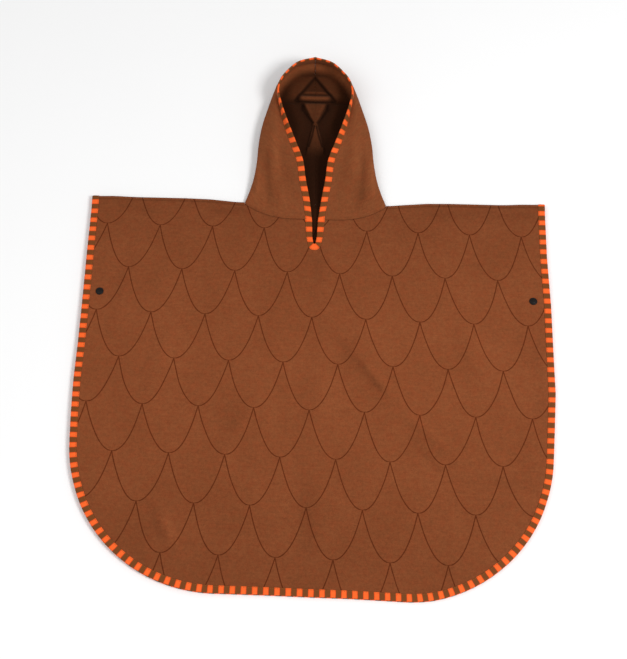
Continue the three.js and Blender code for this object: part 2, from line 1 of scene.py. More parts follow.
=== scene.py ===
"""Hooded bath poncho laid flat on a pale floor. Sizes are in millimetres until a mesh is made."""

import math

import bpy
import numpy as np
from mathutils import Matrix, Vector


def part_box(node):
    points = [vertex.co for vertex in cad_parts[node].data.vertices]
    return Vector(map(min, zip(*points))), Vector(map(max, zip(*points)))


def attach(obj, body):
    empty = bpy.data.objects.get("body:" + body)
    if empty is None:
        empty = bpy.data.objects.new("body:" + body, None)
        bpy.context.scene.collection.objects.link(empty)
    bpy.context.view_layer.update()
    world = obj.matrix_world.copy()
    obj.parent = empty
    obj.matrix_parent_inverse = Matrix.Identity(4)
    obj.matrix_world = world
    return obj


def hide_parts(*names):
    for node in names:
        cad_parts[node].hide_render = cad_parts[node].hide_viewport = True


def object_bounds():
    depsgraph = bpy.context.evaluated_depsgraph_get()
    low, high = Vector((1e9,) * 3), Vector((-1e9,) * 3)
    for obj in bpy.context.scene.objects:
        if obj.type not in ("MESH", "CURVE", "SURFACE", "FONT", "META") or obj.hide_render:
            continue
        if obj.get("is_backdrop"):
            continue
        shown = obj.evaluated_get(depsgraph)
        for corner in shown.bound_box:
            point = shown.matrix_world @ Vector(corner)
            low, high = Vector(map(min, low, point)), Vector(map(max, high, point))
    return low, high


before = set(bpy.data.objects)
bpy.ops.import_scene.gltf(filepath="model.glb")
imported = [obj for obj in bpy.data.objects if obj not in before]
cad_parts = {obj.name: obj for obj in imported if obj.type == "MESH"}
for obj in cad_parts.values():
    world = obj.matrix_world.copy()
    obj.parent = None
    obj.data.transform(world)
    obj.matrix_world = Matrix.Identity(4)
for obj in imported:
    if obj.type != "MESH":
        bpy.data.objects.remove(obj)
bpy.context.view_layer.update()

# Overall sizes
HALF_WIDTH = 352.0
BODY_LENGTH = 621.0
HOOD_RISE = 250.0
CORNER = 220.0
SHOULDER_Y = (BODY_LENGTH - HOOD_RISE) / 2
HEM_Y = SHOULDER_Y - BODY_LENGTH

# Cloth and layers
HALF_CLOTH, HALF_PRESSED = 1.0, 0.66
VISIBLE_SEAM_HALF_GAP = 0.02
BACK_MID, BACK_BOUND_MID = 1.0, 1.9
FRONT_MID, FRONT_BOUND_MID, SLIT_MID = 3.3, 6.0, 5.0
SHOULDER_LIFT = 0.9
BOUND_FADE = (33.0, 62.0)
SHOULDER_FADE = (6.0, 34.0)
SLIT_FADE = (20.0, 48.0)
SLIT_TIP_UP = -74.5
SEAM_HALF_GAP = 0.15
NECK_SEAM_SHADE = 0.4
RIM_CLEAR = 16.0
SEAM_GAP = 0.35

# Binding
BINDING_WIDTH = 10.5
SETBACK = 1.3
ROLL_INSET = 2.9
RIM_REACH = 11.0

# Neck
NECK_X = -5.0
LEAN = 0.025
NECK_HALF, NECK_DROP, NECK_SIDE_DROP, NECK_POWER = 110.0, 33.5, 9.0, 3.4
BACK_NECK_DROP = 13.0

# Shoulder line: distance from the middle, height
SHOULDER_LINE = np.array(
    [(112, -5), (131, -3), (168, 0.5), (206, 1.5), (280, 1.5), (316, 2.5), (352, 3)], float
)

# Slit: height, gap, outer edge
SLIT = [(-73, 1.8, 10.8), (-64, 3.2, 12.4), (-54, 3.7, 13.4), (-44, 4.1, 14.3), (-35, 4.5, 14.9)]
# Foot of the slit: gap x and height, outer x and height
SLIT_FOOT = [(0, -75.7, 0, -86.5), (0.6, -75.5, 4.8, -85.6), (1.3, -74.7, 9.2, -80)]

# Hood: rim x, up and z, slope, fold x, up and z, top z, reach, seam up
HOOD = np.array([
    (4.6, -33.5, 5, 0, 109.5, -6.3, 2.6, 4.2, 2, -12.7),
    (9, -1, 10.5, 5, 103, 9, 5.5, 10, 9, 4),
    (15.2, 31, 19, 10, 96, 31, 9, 17, 15, 18),
    (19.6, 62, 24.5, 18, 91, 62, 11.5, 21.5, 19, 34),
    (31.8, 95, 29, 31, 88.5, 95, 13, 24, 21, 52),
    (44, 128, 32, 55, 83.5, 127, 13.5, 24.5, 20, 70),
    (54, 158, 34.5, 78, 75.5, 157, 13.5, 24, 18, 86),
    (59, 183, 36.5, 84, 66.5, 187, 13.5, 22.5, 16, 98),
    (54, 203, 38, 83, 57, 212, 14, 22, 16, 106),
    (44, 217, 39, 81, 46, 227, 15, 22.5, 16, 111),
    (27, 233.5, 39.5, 80, 28, 242, 15, 23, 16, 114),
    (0, 242, 40, 80, 0, 249, 15, 23, 16, 116),
])

# Waist of the facet inside the hood: height, half width
WAIST = np.array([(86, 12.5), (96, 11), (134, 1.8), (141, 1.8), (178, 17.5), (188, 18)], float)
ROLL_UP, ROLL_HALF, ROLL_ENDS = 187.0, 6.0, (22.0, 32.0)
RECESS_TIP_UP, RECESS_SPREAD = 227.0, 0.74
LOBE_ENDS, LOBE_START, LOBE_STOP = (34.0, 60.0), (178.0, 194.0), (226.0, 238.0)
FACET_START, FACET_STOP, FACET_SIDE = (78.0, 100.0), (174.0, 181.0), 4.0
BANK_OUT, BANK_HALF = 22.0, 11.0
LEDGE_UP, LEDGE_HALF, LEDGE_LIGHT_HALF = 200.0, 2.2, 2.4
# Heights of the roll, lobes, facet, banks and ledge, and the depth of the fine creases
HOOD_HEIGHTS = (6.5, 6.0, 5.5, 3.5, 2.2)
CREASE_DEPTH = 2.4
# Light that the cloth inside the hood keeps: at its deepest and on each form
DEEP_LIGHT, BANK_LIGHT, LOBE_LIGHT, RECESS_LIGHT = 0.11, 0.03, 0.34, 0.22
LEDGE_LIGHT, ROLL_LIGHT, RIB_LIGHT, CREASE_LIGHT = 0.40, 0.56, 0.5, 0.035
FACET_LOW_LIGHT, FACET_MORE_LIGHT = 0.22, 0.15
# Fine creases inside the hood: ends as x and height, half width, depth
INNER_CREASES = [
    (0.5, 228, 17, 204, 2.3, 0.8),
    (17, 204, 33, 184, 1.7, 0.85),
    (0, 196, 19, 196, 1.5, 0.55),
    (0, 181.8, 30, 182.8, 1.6, 0.85),
    (20, 176, 19.5, 167, 3.2, 0.8),
    (19, 167, 11, 153, 2.2, 0.75),
    (11, 153, 2.8, 141, 1.6, 0.7),
    (1.7, 135, 5, 118, 1.4, 0.85),
    (5, 118, 11, 97, 1.8, 0.85),
]

# Soft waves of the front: x, up, along, across, turn, rise
WAVES = [
    (-150, -34, 60, 14, 20, 2.2),
    (146, -36, 60, 14, -20, 2.2),
    (-262, -60, 80, 22, 4, 1.4),
    (262, -58, 80, 22, -4, 1.4),
    (-60, -230, 150, 34, 70, 1.6),
    (90, -300, 170, 36, 105, 1.6),
    (0, -470, 150, 30, 5, 1.5),
    (6, -330, 260, 22, 90, 1.8),
]
# Narrower ones, which the front has besides
FINE_WAVES = [
    (86, -292, 40, 9, -47, 2.4),
    (170, -377, 40, 8, -38, 2.2),
    (-205, -535, 45, 9, -65, 2.4),
    (-120, -400, 60, 13, 62, 1.4),
    (-232, -300, 70, 15, 80, 1.4),
    (230, -250, 60, 13, 100, 1.5),
    (60, -560, 60, 11, 20, 1.5),
]
# Slight ripples all over the front: how many, and their least and most length, width and rise
RIPPLES = 70
RIPPLE_LENGTH, RIPPLE_WIDTH, RIPPLE_RISE = (26.0, 62.0), (7.0, 15.0), (0.25, 0.7)

# Orange stripes along the edge: distance from the middle of the hem, number
EDGE_STRIPES = np.array([
    (-852.8, -54), (-835.8, -53), (-701.8, -45), (-231.4, -15), (2.7, 0), (385.8, 25),
    (699.8, 45), (865, 55),
])
# Orange stripes up the opening: height, number; then half width in the crown, number
RIM_STRIPES = np.array([(-84, 0), (-69, 1), (-17, 4), (31, 7), (79, 10), (128, 13), (181, 16)])
FOOT_STRIPES = np.array([(-86.5, 0), (-85.6, 0.12), (-80.5, 0.3), (-78, 0.5), (-69, 1), (-51, 2), (-34, 3)])
CROWN_STRIPES = np.array(
    [(0, 21.4), (6.4, 21), (20.5, 20), (34, 19), (45.3, 18), (54, 17), (59, 16)]
)
CROWN_UP = 181.0


# How the laid body departs from its true outline: height, left and right side outward
SIDE_SHIFT = np.array([
    (-621, -2, -3), (-540, -2.9, -5.2), (-470, -3.8, -6.6), (-410, -3, -5.8), (-360, -0.7, -2),
    (-310, 0.4, 1.5), (-250, -0.8, 1.3), (-170, -1, 1.3), (-90, -0.8, -1.2), (-20, -1.2, -1.1),
    (20, 0, 0),
])
SIDE_SHIFT_FADE = (0.0, 190.0)
# x, drop of the hem
HEM_DROP = np.array([
    (-352, -2), (-200, -1.9), (-130, -1.7), (-60, -1), (0, 0.2), (60, 1), (130, 3.3), (175, 5),
    (220, 4.6), (270, 4.2), (352, 5.6),
])
# x, drop of the shoulder
TOP_DROP = np.array([(-352, 4.5), (-320, 3), (-290, 2), (-130, 1.6), (-110, 0), (110, 0), (352, 0)])
TOP_DROP_FADE = 90.0
# Middle of the laid garment, which is brought to the origin
LAID_CENTRE = (0.75, -1.7)


def smoothstep(x, low, high):
    t = np.clip((x - low) / (high - low), 0, 1)
    return t * t * (3 - 2 * t)


def fade(x, low, high):
    return 1 - smoothstep(x, low, high)


def mix(a, b, t):
    return a + (b - a) * t


def table(rows, at, column=1):
    return np.interp(at, rows[:, 0], rows[:, column])


def stretch(rows, at):
    """A table that runs on with its end slopes past its ends."""
    at = np.asarray(at, float)
    first = (rows[1, 1] - rows[0, 1]) / (rows[1, 0] - rows[0, 0])
    last = (rows[-1, 1] - rows[-2, 1]) / (rows[-1, 0] - rows[-2, 0])
    past = np.minimum(at - rows[0, 0], 0) * first + np.maximum(at - rows[-1, 0], 0) * last
    return table(rows, at) + past


def catmull(points, at):
    """Centripetal curve through points[..., n, 3], read at shares at of its length in points."""
    n = points.shape[-2]
    s = np.asarray(at, float) * (n - 1)
    i = np.clip(np.floor(s).astype(int), 0, n - 2)
    w = (s - i)[:, None]
    first = 2 * points[..., :1, :] - points[..., 1:2, :]
    last = 2 * points[..., -1:, :] - points[..., -2:-1, :]
    ext = np.concatenate([first, points, last], axis=-2)
    a, b, c, d = (ext[..., i + k, :] for k in range(4))

    def step(p, q):
        return np.maximum(np.sqrt(np.linalg.norm(q - p, axis=-1, keepdims=True)), 1e-4)

    d0, d1, d2 = step(a, b), step(b, c), step(c, d)
    t1 = ((b - a) / d0 - (c - a) / (d0 + d1) + (c - b) / d1) * d1
    t2 = ((c - b) / d1 - (d - b) / (d1 + d2) + (d - c) / d2) * d1
    return b + t1 * w + (-3 * b + 3 * c - 2 * t1 - t2) * w**2 + (2 * b - 2 * c + t1 + t2) * w**3


def inset_at(x, y):
    from_side, from_hem = HALF_WIDTH - np.abs(x), y - HEM_Y
    over_x, over_y = np.maximum(CORNER - from_side, 0), np.maximum(CORNER - from_hem, 0)
    rounded = CORNER - np.hypot(over_x, over_y)
    return np.where((over_x > 0) & (over_y > 0), rounded, np.minimum(from_side, from_hem))


def roll_y(x):
    return SHOULDER_Y + table(SHOULDER_LINE, np.abs(x)) - ROLL_INSET


def bound_share(x, y):
    return fade(inset_at(x, y), *BOUND_FADE)


def slit_share(x, y):
    up = y - SHOULDER_Y
    nearest = np.clip(up, SLIT_TIP_UP, -20)
    return fade(np.hypot(x - NECK_X, up - nearest), *SLIT_FADE)


def scatter_ripples():
    chance = np.random.default_rng(7)
    ripples = []
    for _ in range(RIPPLES):
        place = (chance.uniform(-300, 300), chance.uniform(-570, -60))
        size = [chance.uniform(*span) for span in (RIPPLE_LENGTH, RIPPLE_WIDTH)]
        ripples.append((*place, *size, chance.uniform(0, 180), chance.uniform(*RIPPLE_RISE)))
    return ripples


# Painted light and shade from the slopes of the front's waves: strength, and the weights of the slopes
# across and along
RELIEF_CONTRAST, RELIEF_ACROSS, RELIEF_ALONG = 0.5, 0.8, 0.5
# Painted shade in soft creases and hollows of the front: ends as x and height, half width, depth
FRONT_CREASE_SHADE = [
    (40, -236, 68, -272, 7, 0.10),
    (68, -272, 96, -311, 5, 0.15),
    (148, -383, 170, -409, 6, 0.09),
    (170, -409, 190, -432, 4, 0.14),
    (268, -446, 322, -452, 8, 0.09),
    (-4, -475, -2, -556, 14, 0.08),
    (6, -100, 8, -175, 17, 0.07),
    (326, -240, 330, -330, 11, 0.08),
    (-162, -21, -112, -20, 5, 0.15),
    (-308, -15, -262, -22, 6, 0.12),
    (115, -22, 330, -18, 9, 0.09),
    (-236, -574, -228, -600, 8, 0.12),
    (-300, -150, -306, -230, 14, 0.06),
    (-120, -350, -96, -420, 18, 0.05),
]
ALL_WAVES = WAVES + FINE_WAVES + scatter_ripples()


def wave_height(x, y):
    height = 0 * x
    for wx, up, along, across, turn, rise in ALL_WAVES:
        a = math.radians(turn)
        dx, dy = x - wx, y - SHOULDER_Y - up
        u = (dx * math.cos(a) + dy * math.sin(a)) / along
        v = (dy * math.cos(a) - dx * math.sin(a)) / across
        height = height + rise * np.exp(-u * u - v * v)
    return height


def relief_light(x, y):
    """Painted light and shade of the front: how the waves would catch the light from the upper right, and
    how dark their creases are painted.
    """
    rise_x = (wave_height(x + 1, y) - wave_height(x - 1, y)) / 2
    rise_y = (wave_height(x, y + 1) - wave_height(x, y - 1)) / 2
    free = 1 - bound_share(x, y)
    light = 1 - RELIEF_CONTRAST * (RELIEF_ACROSS * rise_x + RELIEF_ALONG * rise_y) * free
    for x0, up0, x1, up1, half, depth in FRONT_CREASE_SHADE:
        dx, dy = x1 - x0, up1 - up0
        up = y - SHOULDER_Y
        share = np.clip(((x - x0) * dx + (up - up0) * dy) / (dx * dx + dy * dy), 0, 1)
        apart = np.hypot(x - x0 - share * dx, up - up0 - share * dy)
        light = light * (1 - depth * np.exp(-((apart / half) ** 2)))
    return light


def front_mid(x, y):
    bound = bound_share(x, y)
    slit = slit_share(x, y) * (1 - bound)
    shoulder = fade(roll_y(x) - y, *SHOULDER_FADE)
    free = (1 - bound) * (1 - slit)
    return (
        FRONT_MID
        + (FRONT_BOUND_MID - FRONT_MID) * bound
        + (SLIT_MID - FRONT_MID) * slit
        + free * (SHOULDER_LIFT * shoulder + wave_height(x, y) * (1 - shoulder))
    )


def back_mid(x, y):
    return mix(BACK_MID, BACK_BOUND_MID, bound_share(x, y))


def front_half(x, y):
    return mix(HALF_CLOTH, HALF_PRESSED, np.maximum(bound_share(x, y), slit_share(x, y)))


def back_half(x, y):
    return mix(HALF_CLOTH, HALF_PRESSED, bound_share(x, y))


def shoulder_roll(x):
    y = roll_y(x)
    front, back = front_mid(x, y), back_mid(x, y)
    return y, (front + back) / 2, (front - back) / 2


def neck_drop(x):
    share = np.minimum(np.abs(x) / NECK_HALF, 1) ** NECK_POWER
    return mix(NECK_DROP, NECK_SIDE_DROP, share)


def back_neck_drop(x):
    return mix(BACK_NECK_DROP, NECK_SIDE_DROP, np.minimum(np.abs(x) / NECK_HALF, 1) ** 2)


def settle(points):
    """Lets the laid garment sag and lean as it does: its sides and hem aren't quite true."""
    points = np.array(points, float)
    x, up = points[..., 0], points[..., 1] - SHOULDER_Y
    left, right = table(SIDE_SHIFT, up, 1), table(SIDE_SHIFT, up, 2)
    share = smoothstep(np.abs(x), *SIDE_SHIFT_FADE)
    low = np.clip(-up / BODY_LENGTH, 0, 1)
    top = fade(-up, 0, TOP_DROP_FADE) * smoothstep(-up, -40, 0)
    drop = table(HEM_DROP, x) * low + table(TOP_DROP, x) * top
    points[..., 0] = x + np.where(x > 0, right, -left) * share - LAID_CENTRE[0]
    points[..., 1] -= drop + LAID_CENTRE[1]
    return points


# Meshes


def add_mesh(name, points, faces, cut=None):
    mesh = bpy.data.meshes.new(name)
    mesh.from_pydata((np.asarray(points) / 1000).tolist(), [], faces)
    mesh.validate()
    mesh.update()
    if cut is not None:
        layer = mesh.attributes.new("cut", "FLOAT_VECTOR", "POINT")
        layer.data.foreach_set("vector", np.asarray(cut, np.float32).ravel())
    mesh.shade_smooth()
    piece = bpy.data.objects.new(name, mesh)
    bpy.context.scene.collection.objects.link(piece)
    return piece


def grid_faces(rows, columns, base=0, flip=False):
    at = base + np.arange(rows * columns).reshape(rows, columns)
    corners = [at[:-1, :-1], at[:-1, 1:], at[1:, 1:], at[1:, :-1]]
    if flip:
        corners.reverse()
    return np.stack([c.ravel() for c in corners], axis=1)


def add_shell(name, mid, normal, half, cut, limit=None, inner_cut=None):
    """A closed sheet from a grid of middle points, outside on the normal's side."""
    rows, columns = mid.shape[:2]
    half = np.broadcast_to(half, mid.shape[:2])[..., None]
    sides = [mid + normal * half, mid - normal * half]
    if limit:
        sides = [limit(side) for side in sides]
    sides = [settle(side) for side in sides]
    count = rows * columns
    faces = [grid_faces(rows, columns), grid_faces(rows, columns, count, True)]
    at = np.arange(count).reshape(rows, columns)
    rim = np.concatenate([at[0, :-1], at[:-1, -1], at[-1, :0:-1], at[::-1, 0]])
    a, b = rim[:-1], rim[1:]
    faces.append(np.stack([a + count, b + count, b, a], axis=1))
    faces = np.concatenate(faces)
    points = np.concatenate([s.reshape(-1, 3) for s in sides])
    inner_cut = cut if inner_cut is None else inner_cut
    cut = np.concatenate([cut.reshape(-1, 3), inner_cut.reshape(-1, 3)])
    return add_mesh(name, points, faces.tolist(), cut)


# Body panels

# Fish-scale print: size of a scale, place of the top row and of a middle scale, and the turn
SCALE_WIDTH, SCALE_HEIGHT = 80.7, 73.8
SCALE_TOP_UP, SCALE_X = 21.4, -6.0
PRINT_SLOPE, PRINT_LEAN = 0.0079, -0.0012
# Share of the bow's curve that is round; the rest is flatter at the tip
BOW_ROUND = 0.875
# Soft stretch of the printed cloth across and along: uv, vv, uuv, uvv, uuu and vvv
STRETCH_ACROSS = (5, -1, 3, 2, -2, -3)
STRETCH_ALONG = (1, -2, 2, -1, 1, -1)


def print_place(x, up):
    """Where a place of the laid panel lies on the printed cloth."""
    u, v = x / 350, up / 300 + 1
    terms = (u * v, v * v, u * u * v, u * v * v, u**3, v**3)
    across = sum(k * t for k, t in zip(STRETCH_ACROSS, terms))
    along = sum(k * t for k, t in zip(STRETCH_ALONG, terms))
    return x - SCALE_X + PRINT_LEAN * up + across, up + PRINT_SLOPE * x + along


def top_edge(x, front):
    """Height at which a panel's column ends: the neck, the slit, or the start of the roll."""
    away = np.abs(x - NECK_X)
    roll = roll_y(x)
    if not front:
        return np.where(away < NECK_HALF, SHOULDER_Y - back_neck_drop(away), roll)
    ends = [(0, -75.7 - SETBACK)]
    for gap_x, gap_up, out_x, out_up in SLIT_FOOT[1:]:
        share = SETBACK / math.hypot(out_x - gap_x, out_up - gap_up)
        ends.append((mix(gap_x, out_x, share), mix(gap_up, out_up, share)))
    for up, gap, _ in SLIT:
        ends.append((gap + SETBACK, up))
    ends.append((SLIT[-1][1] + SETBACK + 0.1, -NECK_DROP))
    ends = np.array(ends)
    slit = np.interp(away, ends[:, 0], ends[:, 1])
    neck = np.where(away < ends[-1, 0], slit, -neck_drop(away))
    return np.where(away < NECK_HALF, SHOULDER_Y + neck, roll)


# Share of the light that the panels keep, by height: they darken towards the hem and shoulders
PANEL_LIGHT = np.array([
    (-621, 0.85), (-560, 0.87), (-480, 0.92), (-380, 0.98), (-250, 1), (-150, 0.97), (-90, 0.93),
    (-30, 0.87), (0, 0.84),
])
# Painted light kept by the hood's outside, and how much its flap waves lighten or darken it
HOOD_LIGHT, WAVE_LIGHT = 0.95, 0.11
SHOULDER_LINE_INSET, SHOULDER_LINE_HALF, SHOULDER_LINE_SHADE = 3.0, 1.4, 0.3
# Rows near the foot and the top of a panel's columns, and the rows between them
NEAR_FOOT = (0, 2, 5, 9, 14, 20, 27, 34, 42, 51, 62)
NEAR_TOP = (5.0, 3.6, 2.6, 1.8, 1.1, 0.5, 0.0)
FRONT_ROWS, BACK_ROWS = 92, 60
ROLL_ANGLES = (75, 60, 45, 30, 15, 0)
INNER_LIGHT = 0.12


def panel_columns(front):
    radius = CORNER - SETBACK
    turn = np.radians(np.linspace(0, 90, 38))
    arc_x = HALF_WIDTH - CORNER + radius * np.cos(turn)
    arc_y = HEM_Y + CORNER - radius * np.sin(turn)
    near = [0, 0.8, 1.6, 2.1, 2.6, 3.2, 4, 4.6, 5, 5.4, 5.8, 6.1, 6.4, 7.5, 9.5, 12]
    if not front:
        near = [0, 4, 8, 12]
    far = np.concatenate([np.arange(15, 106, 3.5), [107.5, 109, 109.8, 110.2, 111, 113, 117, 121]])
    side = np.concatenate([near, far])
    middle = NECK_X + np.concatenate([-side[::-1], side[1:]])
    x = np.concatenate([-arc_x, middle, arc_x[::-1]])
    foot = np.concatenate([arc_y, np.full(len(middle), HEM_Y + SETBACK), arc_y[::-1]])
    return x, foot


def add_panel(name, front):
    x, foot = panel_columns(front)
    top = top_edge(x, front)
    outward = 1.0 if front else -1.0
    mid_at, half_at = (front_mid, front_half) if front else (back_mid, back_half)
    steps = np.linspace(0, 1, FRONT_ROWS if front else BACK_ROWS)[1:]
    rows = [foot + inset for inset in NEAR_FOOT]
    start = foot + NEAR_FOOT[-1]
    rows += [mix(start, top - NEAR_TOP[0], s) for s in steps]
    rows += [top - inset for inset in NEAR_TOP[1:]]
    y = np.stack(rows, axis=1)
    xs = np.repeat(x[:, None], y.shape[1], axis=1)
    mid = np.stack([xs, y, mid_at(xs, y)], axis=-1)
    normal = np.zeros_like(mid)
    normal[..., 2] = outward
    half = half_at(xs, y)
    # The rolled shoulder, which ends at once where the neck is cut.
    roll_mid_y, roll_z, radius = shoulder_roll(x)
    rolled = np.abs(x - NECK_X) >= NECK_HALF
    knots, normals = [], []
    for angle in ROLL_ANGLES:
        turn = math.radians(angle)
        direction = np.array([0, math.cos(turn), outward * math.sin(turn)])
        centre = np.stack([x, roll_mid_y, roll_z], axis=-1)
        curved = centre + direction * radius[:, None]
        flat = mid[:, -1] + np.array([0, 0.02 * (90 - angle) / 15, 0])
        knots.append(np.where(rolled[:, None], curved, flat))
        normals.append(np.where(rolled[:, None], direction, [0, 0, outward]))
    mid = np.concatenate([mid, np.stack(knots, axis=1)], axis=1)
    normal = np.concatenate([normal, np.stack(normals, axis=1)], axis=1)
    half = np.concatenate([half, np.repeat(half[:, -1:], len(ROLL_ANGLES), axis=1)], axis=1)

    def limit(side):
        split = roll_z[:, None] + outward * SEAM_HALF_GAP
        clipped = np.maximum(side[..., 2], split) if front else np.minimum(side[..., 2], split)
        side[..., 2] = np.where(rolled[:, None], clipped, side[..., 2])
        return side

    cut = np.zeros_like(mid)
    cut[..., 0], cut[..., 1] = print_place(mid[..., 0], mid[..., 1] - SHOULDER_Y)
    rise = top[:, None] - mid[..., 1]
    at_neck = ((np.abs(x - NECK_X) < NECK_HALF) & (np.abs(x - NECK_X) > RIM_CLEAR))[:, None]
    # Painted shade along the neck seam and in a thin line below the shoulder roll, times the painted light
    # kept by height
    seam = 1 - NECK_SEAM_SHADE * np.exp(-((rise / 1.3) ** 2)) * at_neck * front
    below_roll = (roll_mid_y[:, None] - mid[..., 1] - SHOULDER_LINE_INSET) / SHOULDER_LINE_HALF
    seam = seam * (1 - SHOULDER_LINE_SHADE * np.exp(-(below_roll**2)) * rolled[:, None])
    cut[..., 2] = seam * table(PANEL_LIGHT, mid[..., 1] - SHOULDER_Y)
    if front:
        cut[..., 2] *= relief_light(mid[..., 0], mid[..., 1])
    # The inner faces get painted shade
    inner_cut = cut.copy()
    inner_cut[..., 2] = INNER_LIGHT
    if front:
        mid, normal, half, cut = mid[::-1], normal[::-1], half[::-1], cut[::-1]
        roll_z, rolled, inner_cut = roll_z[::-1], rolled[::-1], inner_cut[::-1]
    return add_shell(name, mid, normal, half, cut, limit, inner_cut)


# Hood


def hood_rails():
    stops = []
    for rim_x, rim_up, rim_z, slope, fold_x, fold_up, fold_z, top, reach, seam_up in HOOD:
        rim, fold = np.array([rim_x, rim_up, rim_z]), np.array([fold_x, fold_up, fold_z])
        out = np.array([fold_x - rim_x, fold_up - rim_up, 0])
        out /= np.linalg.norm(out)
        turn = math.radians(slope)
        beside = rim + out * RIM_REACH * math.cos(turn)
        beside[2] -= RIM_REACH * math.sin(turn)
        span = math.hypot(*(beside - fold)[:2])
        fold_top = mix(fold, beside, min(0.6, reach / span))
        fold_top[2] = top
        flap = mix(beside, fold_top, 0.5)
        seam = np.array([0, seam_up, BACK_MID])
        floor = mix(fold, seam, reach / math.hypot(*(seam - fold)[:2]))
        floor[2] = BACK_MID
        stops.append([rim, beside, flap, fold_top, fold, floor, seam])
    return np.array(stops).transpose(1, 0, 2)


RAILS = hood_rails()
LAST_STOP = len(RAILS) - 1
FOLD_STOP, FLOOR_STOP = 4, 5


def hood_forms(x, up):
    """Shares of the roll, the lobes beside the recess, the facet and the banks beside it."""
    away = np.abs(x)
    roll = np.exp(-(((up - ROLL_UP) / ROLL_HALF) ** 2)) * fade(away, *ROLL_ENDS)
    beside = smoothstep(away - (RECESS_TIP_UP - up) * RECESS_SPREAD, -2, 2.5)
    lobe = beside * fade(away, *LOBE_ENDS) * smoothstep(up, *LOBE_START) * fade(up, *LOBE_STOP)
    waist = table(WAIST, up)
    reaches = smoothstep(up, *FACET_START) * fade(up, *FACET_STOP)
    facet = fade(away, waist, waist + FACET_SIDE) * reaches
    bank = np.exp(-(((away - waist - BANK_OUT) / BANK_HALF) ** 2)) * reaches
    return roll, lobe, facet, bank


def inner_crease(x, up):
    """Depth of the fine creases inside the hood."""
    away, depth = np.abs(x), 0 * x
    for x0, up0, x1, up1, half, deep in INNER_CREASES:
        dx, dy = x1 - x0, up1 - up0
        share = np.clip(((away - x0) * dx + (up - up0) * dy) / (dx * dx + dy * dy), 0, 1)
        apart = np.hypot(away - x0 - share * dx, up - up0 - share * dy)
        depth = np.maximum(depth, deep * np.exp(-((apart / half) ** 2)))
    return depth


def hood_crease(x, up):
    ledge = np.exp(-(((up - LEDGE_UP) / LEDGE_HALF) ** 2)) * fade(np.abs(x), 12, 20)
    forms = (*hood_forms(x, up), ledge)
    height = sum(most * form for most, form in zip(HOOD_HEIGHTS, forms))
    return np.maximum(height - CREASE_DEPTH * inner_crease(x, up), 0)


def hood_shade(x, up, across):
    """How much light the cloth inside the hood keeps: the deeper, the less."""
    roll, lobe, facet, bank = hood_forms(x, up)
    away = np.abs(x)
    tail = fade(-up, -125, -86)
    inside = fade(away - (RECESS_TIP_UP - up) * RECESS_SPREAD, -2, 2) * smoothstep(up, 190, 193)
    ledge = np.exp(-(((up - LEDGE_UP) / LEDGE_LIGHT_HALF) ** 2)) * fade(away, 13, 20)
    shade = DEEP_LIGHT + BANK_LIGHT * bank
    shade = mix(shade, LOBE_LIGHT, lobe)
    shade = mix(shade, RECESS_LIGHT, inside * fade(up, 222, 232))
    shade = mix(shade, LEDGE_LIGHT, ledge)
    shade = mix(shade, ROLL_LIGHT, fade(np.abs(up - ROLL_UP), 2.6, 5.8) * fade(away, 18, 28))
    shade = mix(shade, FACET_MORE_LIGHT * tail + FACET_LOW_LIGHT, facet)
    rib = np.exp(-(((away - table(WAIST, up) + 3) / 1.4) ** 2)) * fade(np.abs(up - 166), 5, 12)
    shade = mix(shade, RIB_LIGHT, 0.6 * rib)
    shade = mix(shade, CREASE_LIGHT, inner_crease(x, up))
    wall = 1 - 0.3 * np.exp(-(((across - 1.28) / 0.1) ** 2))
    wall = wall * mix(0.2, 1.0, smoothstep(up, 150, 222))
    wall = wall * (1 - 0.5 * fade(away, 0.5, 1.6) * smoothstep(up, 222, 228))
    return mix(wall, shade, smoothstep(across, 4.3, 5.0))


# Soft troughs and ridges of the hood's flaps: ends as x and height, half width, rise
FLAP_WAVES = [
    (76, 78, 72, -8, 6.0, -2.0),
    (64, 30, 66, -20, 8.0, -0.9),
    (34, 60, 38, 0, 10.0, -0.7),
    (88, 70, 90, 6, 3.5, 1.5),
    (52, 96, 46, 20, 9.0, -0.9),
    (62, 112, 60, 40, 7.0, 0.9),
]


def flap_wave(x, up):
    away, rise = np.abs(x), 0 * x
    for x0, up0, x1, up1, half, high in FLAP_WAVES:
        dx, dy = x1 - x0, up1 - up0
        share = ((away - x0) * dx + (up - up0) * dy) / (dx * dx + dy * dy)
        apart = np.abs((away - x0) * dy - (up - up0) * dx) / math.hypot(dx, dy)
        ends = smoothstep(share, -0.15, 0.25) * fade(share, 0.75, 1.15)
        rise = rise + high * np.exp(-((apart / half) ** 2)) * ends
    return rise


def hood_mid(along, across):
    stops = catmull(RAILS, along)
    place = catmull(stops.transpose(1, 0, 2), np.asarray(across) / LAST_STOP)
    place[..., 0] = np.maximum(place[..., 0], VISIBLE_SEAM_HALF_GAP)
    place[..., 2] = np.maximum(place[..., 2], BACK_MID)
    weight = smoothstep(np.asarray(across), 4.6, 5.4)
    place[..., 2] += hood_crease(place[..., 0], place[..., 1]) * weight
    flap = smoothstep(np.asarray(across), 1.0, 1.6) * fade(np.asarray(across), 3.2, 4.0)
    place[..., 2] += flap_wave(place[..., 0], place[..., 1]) * flap
    return place


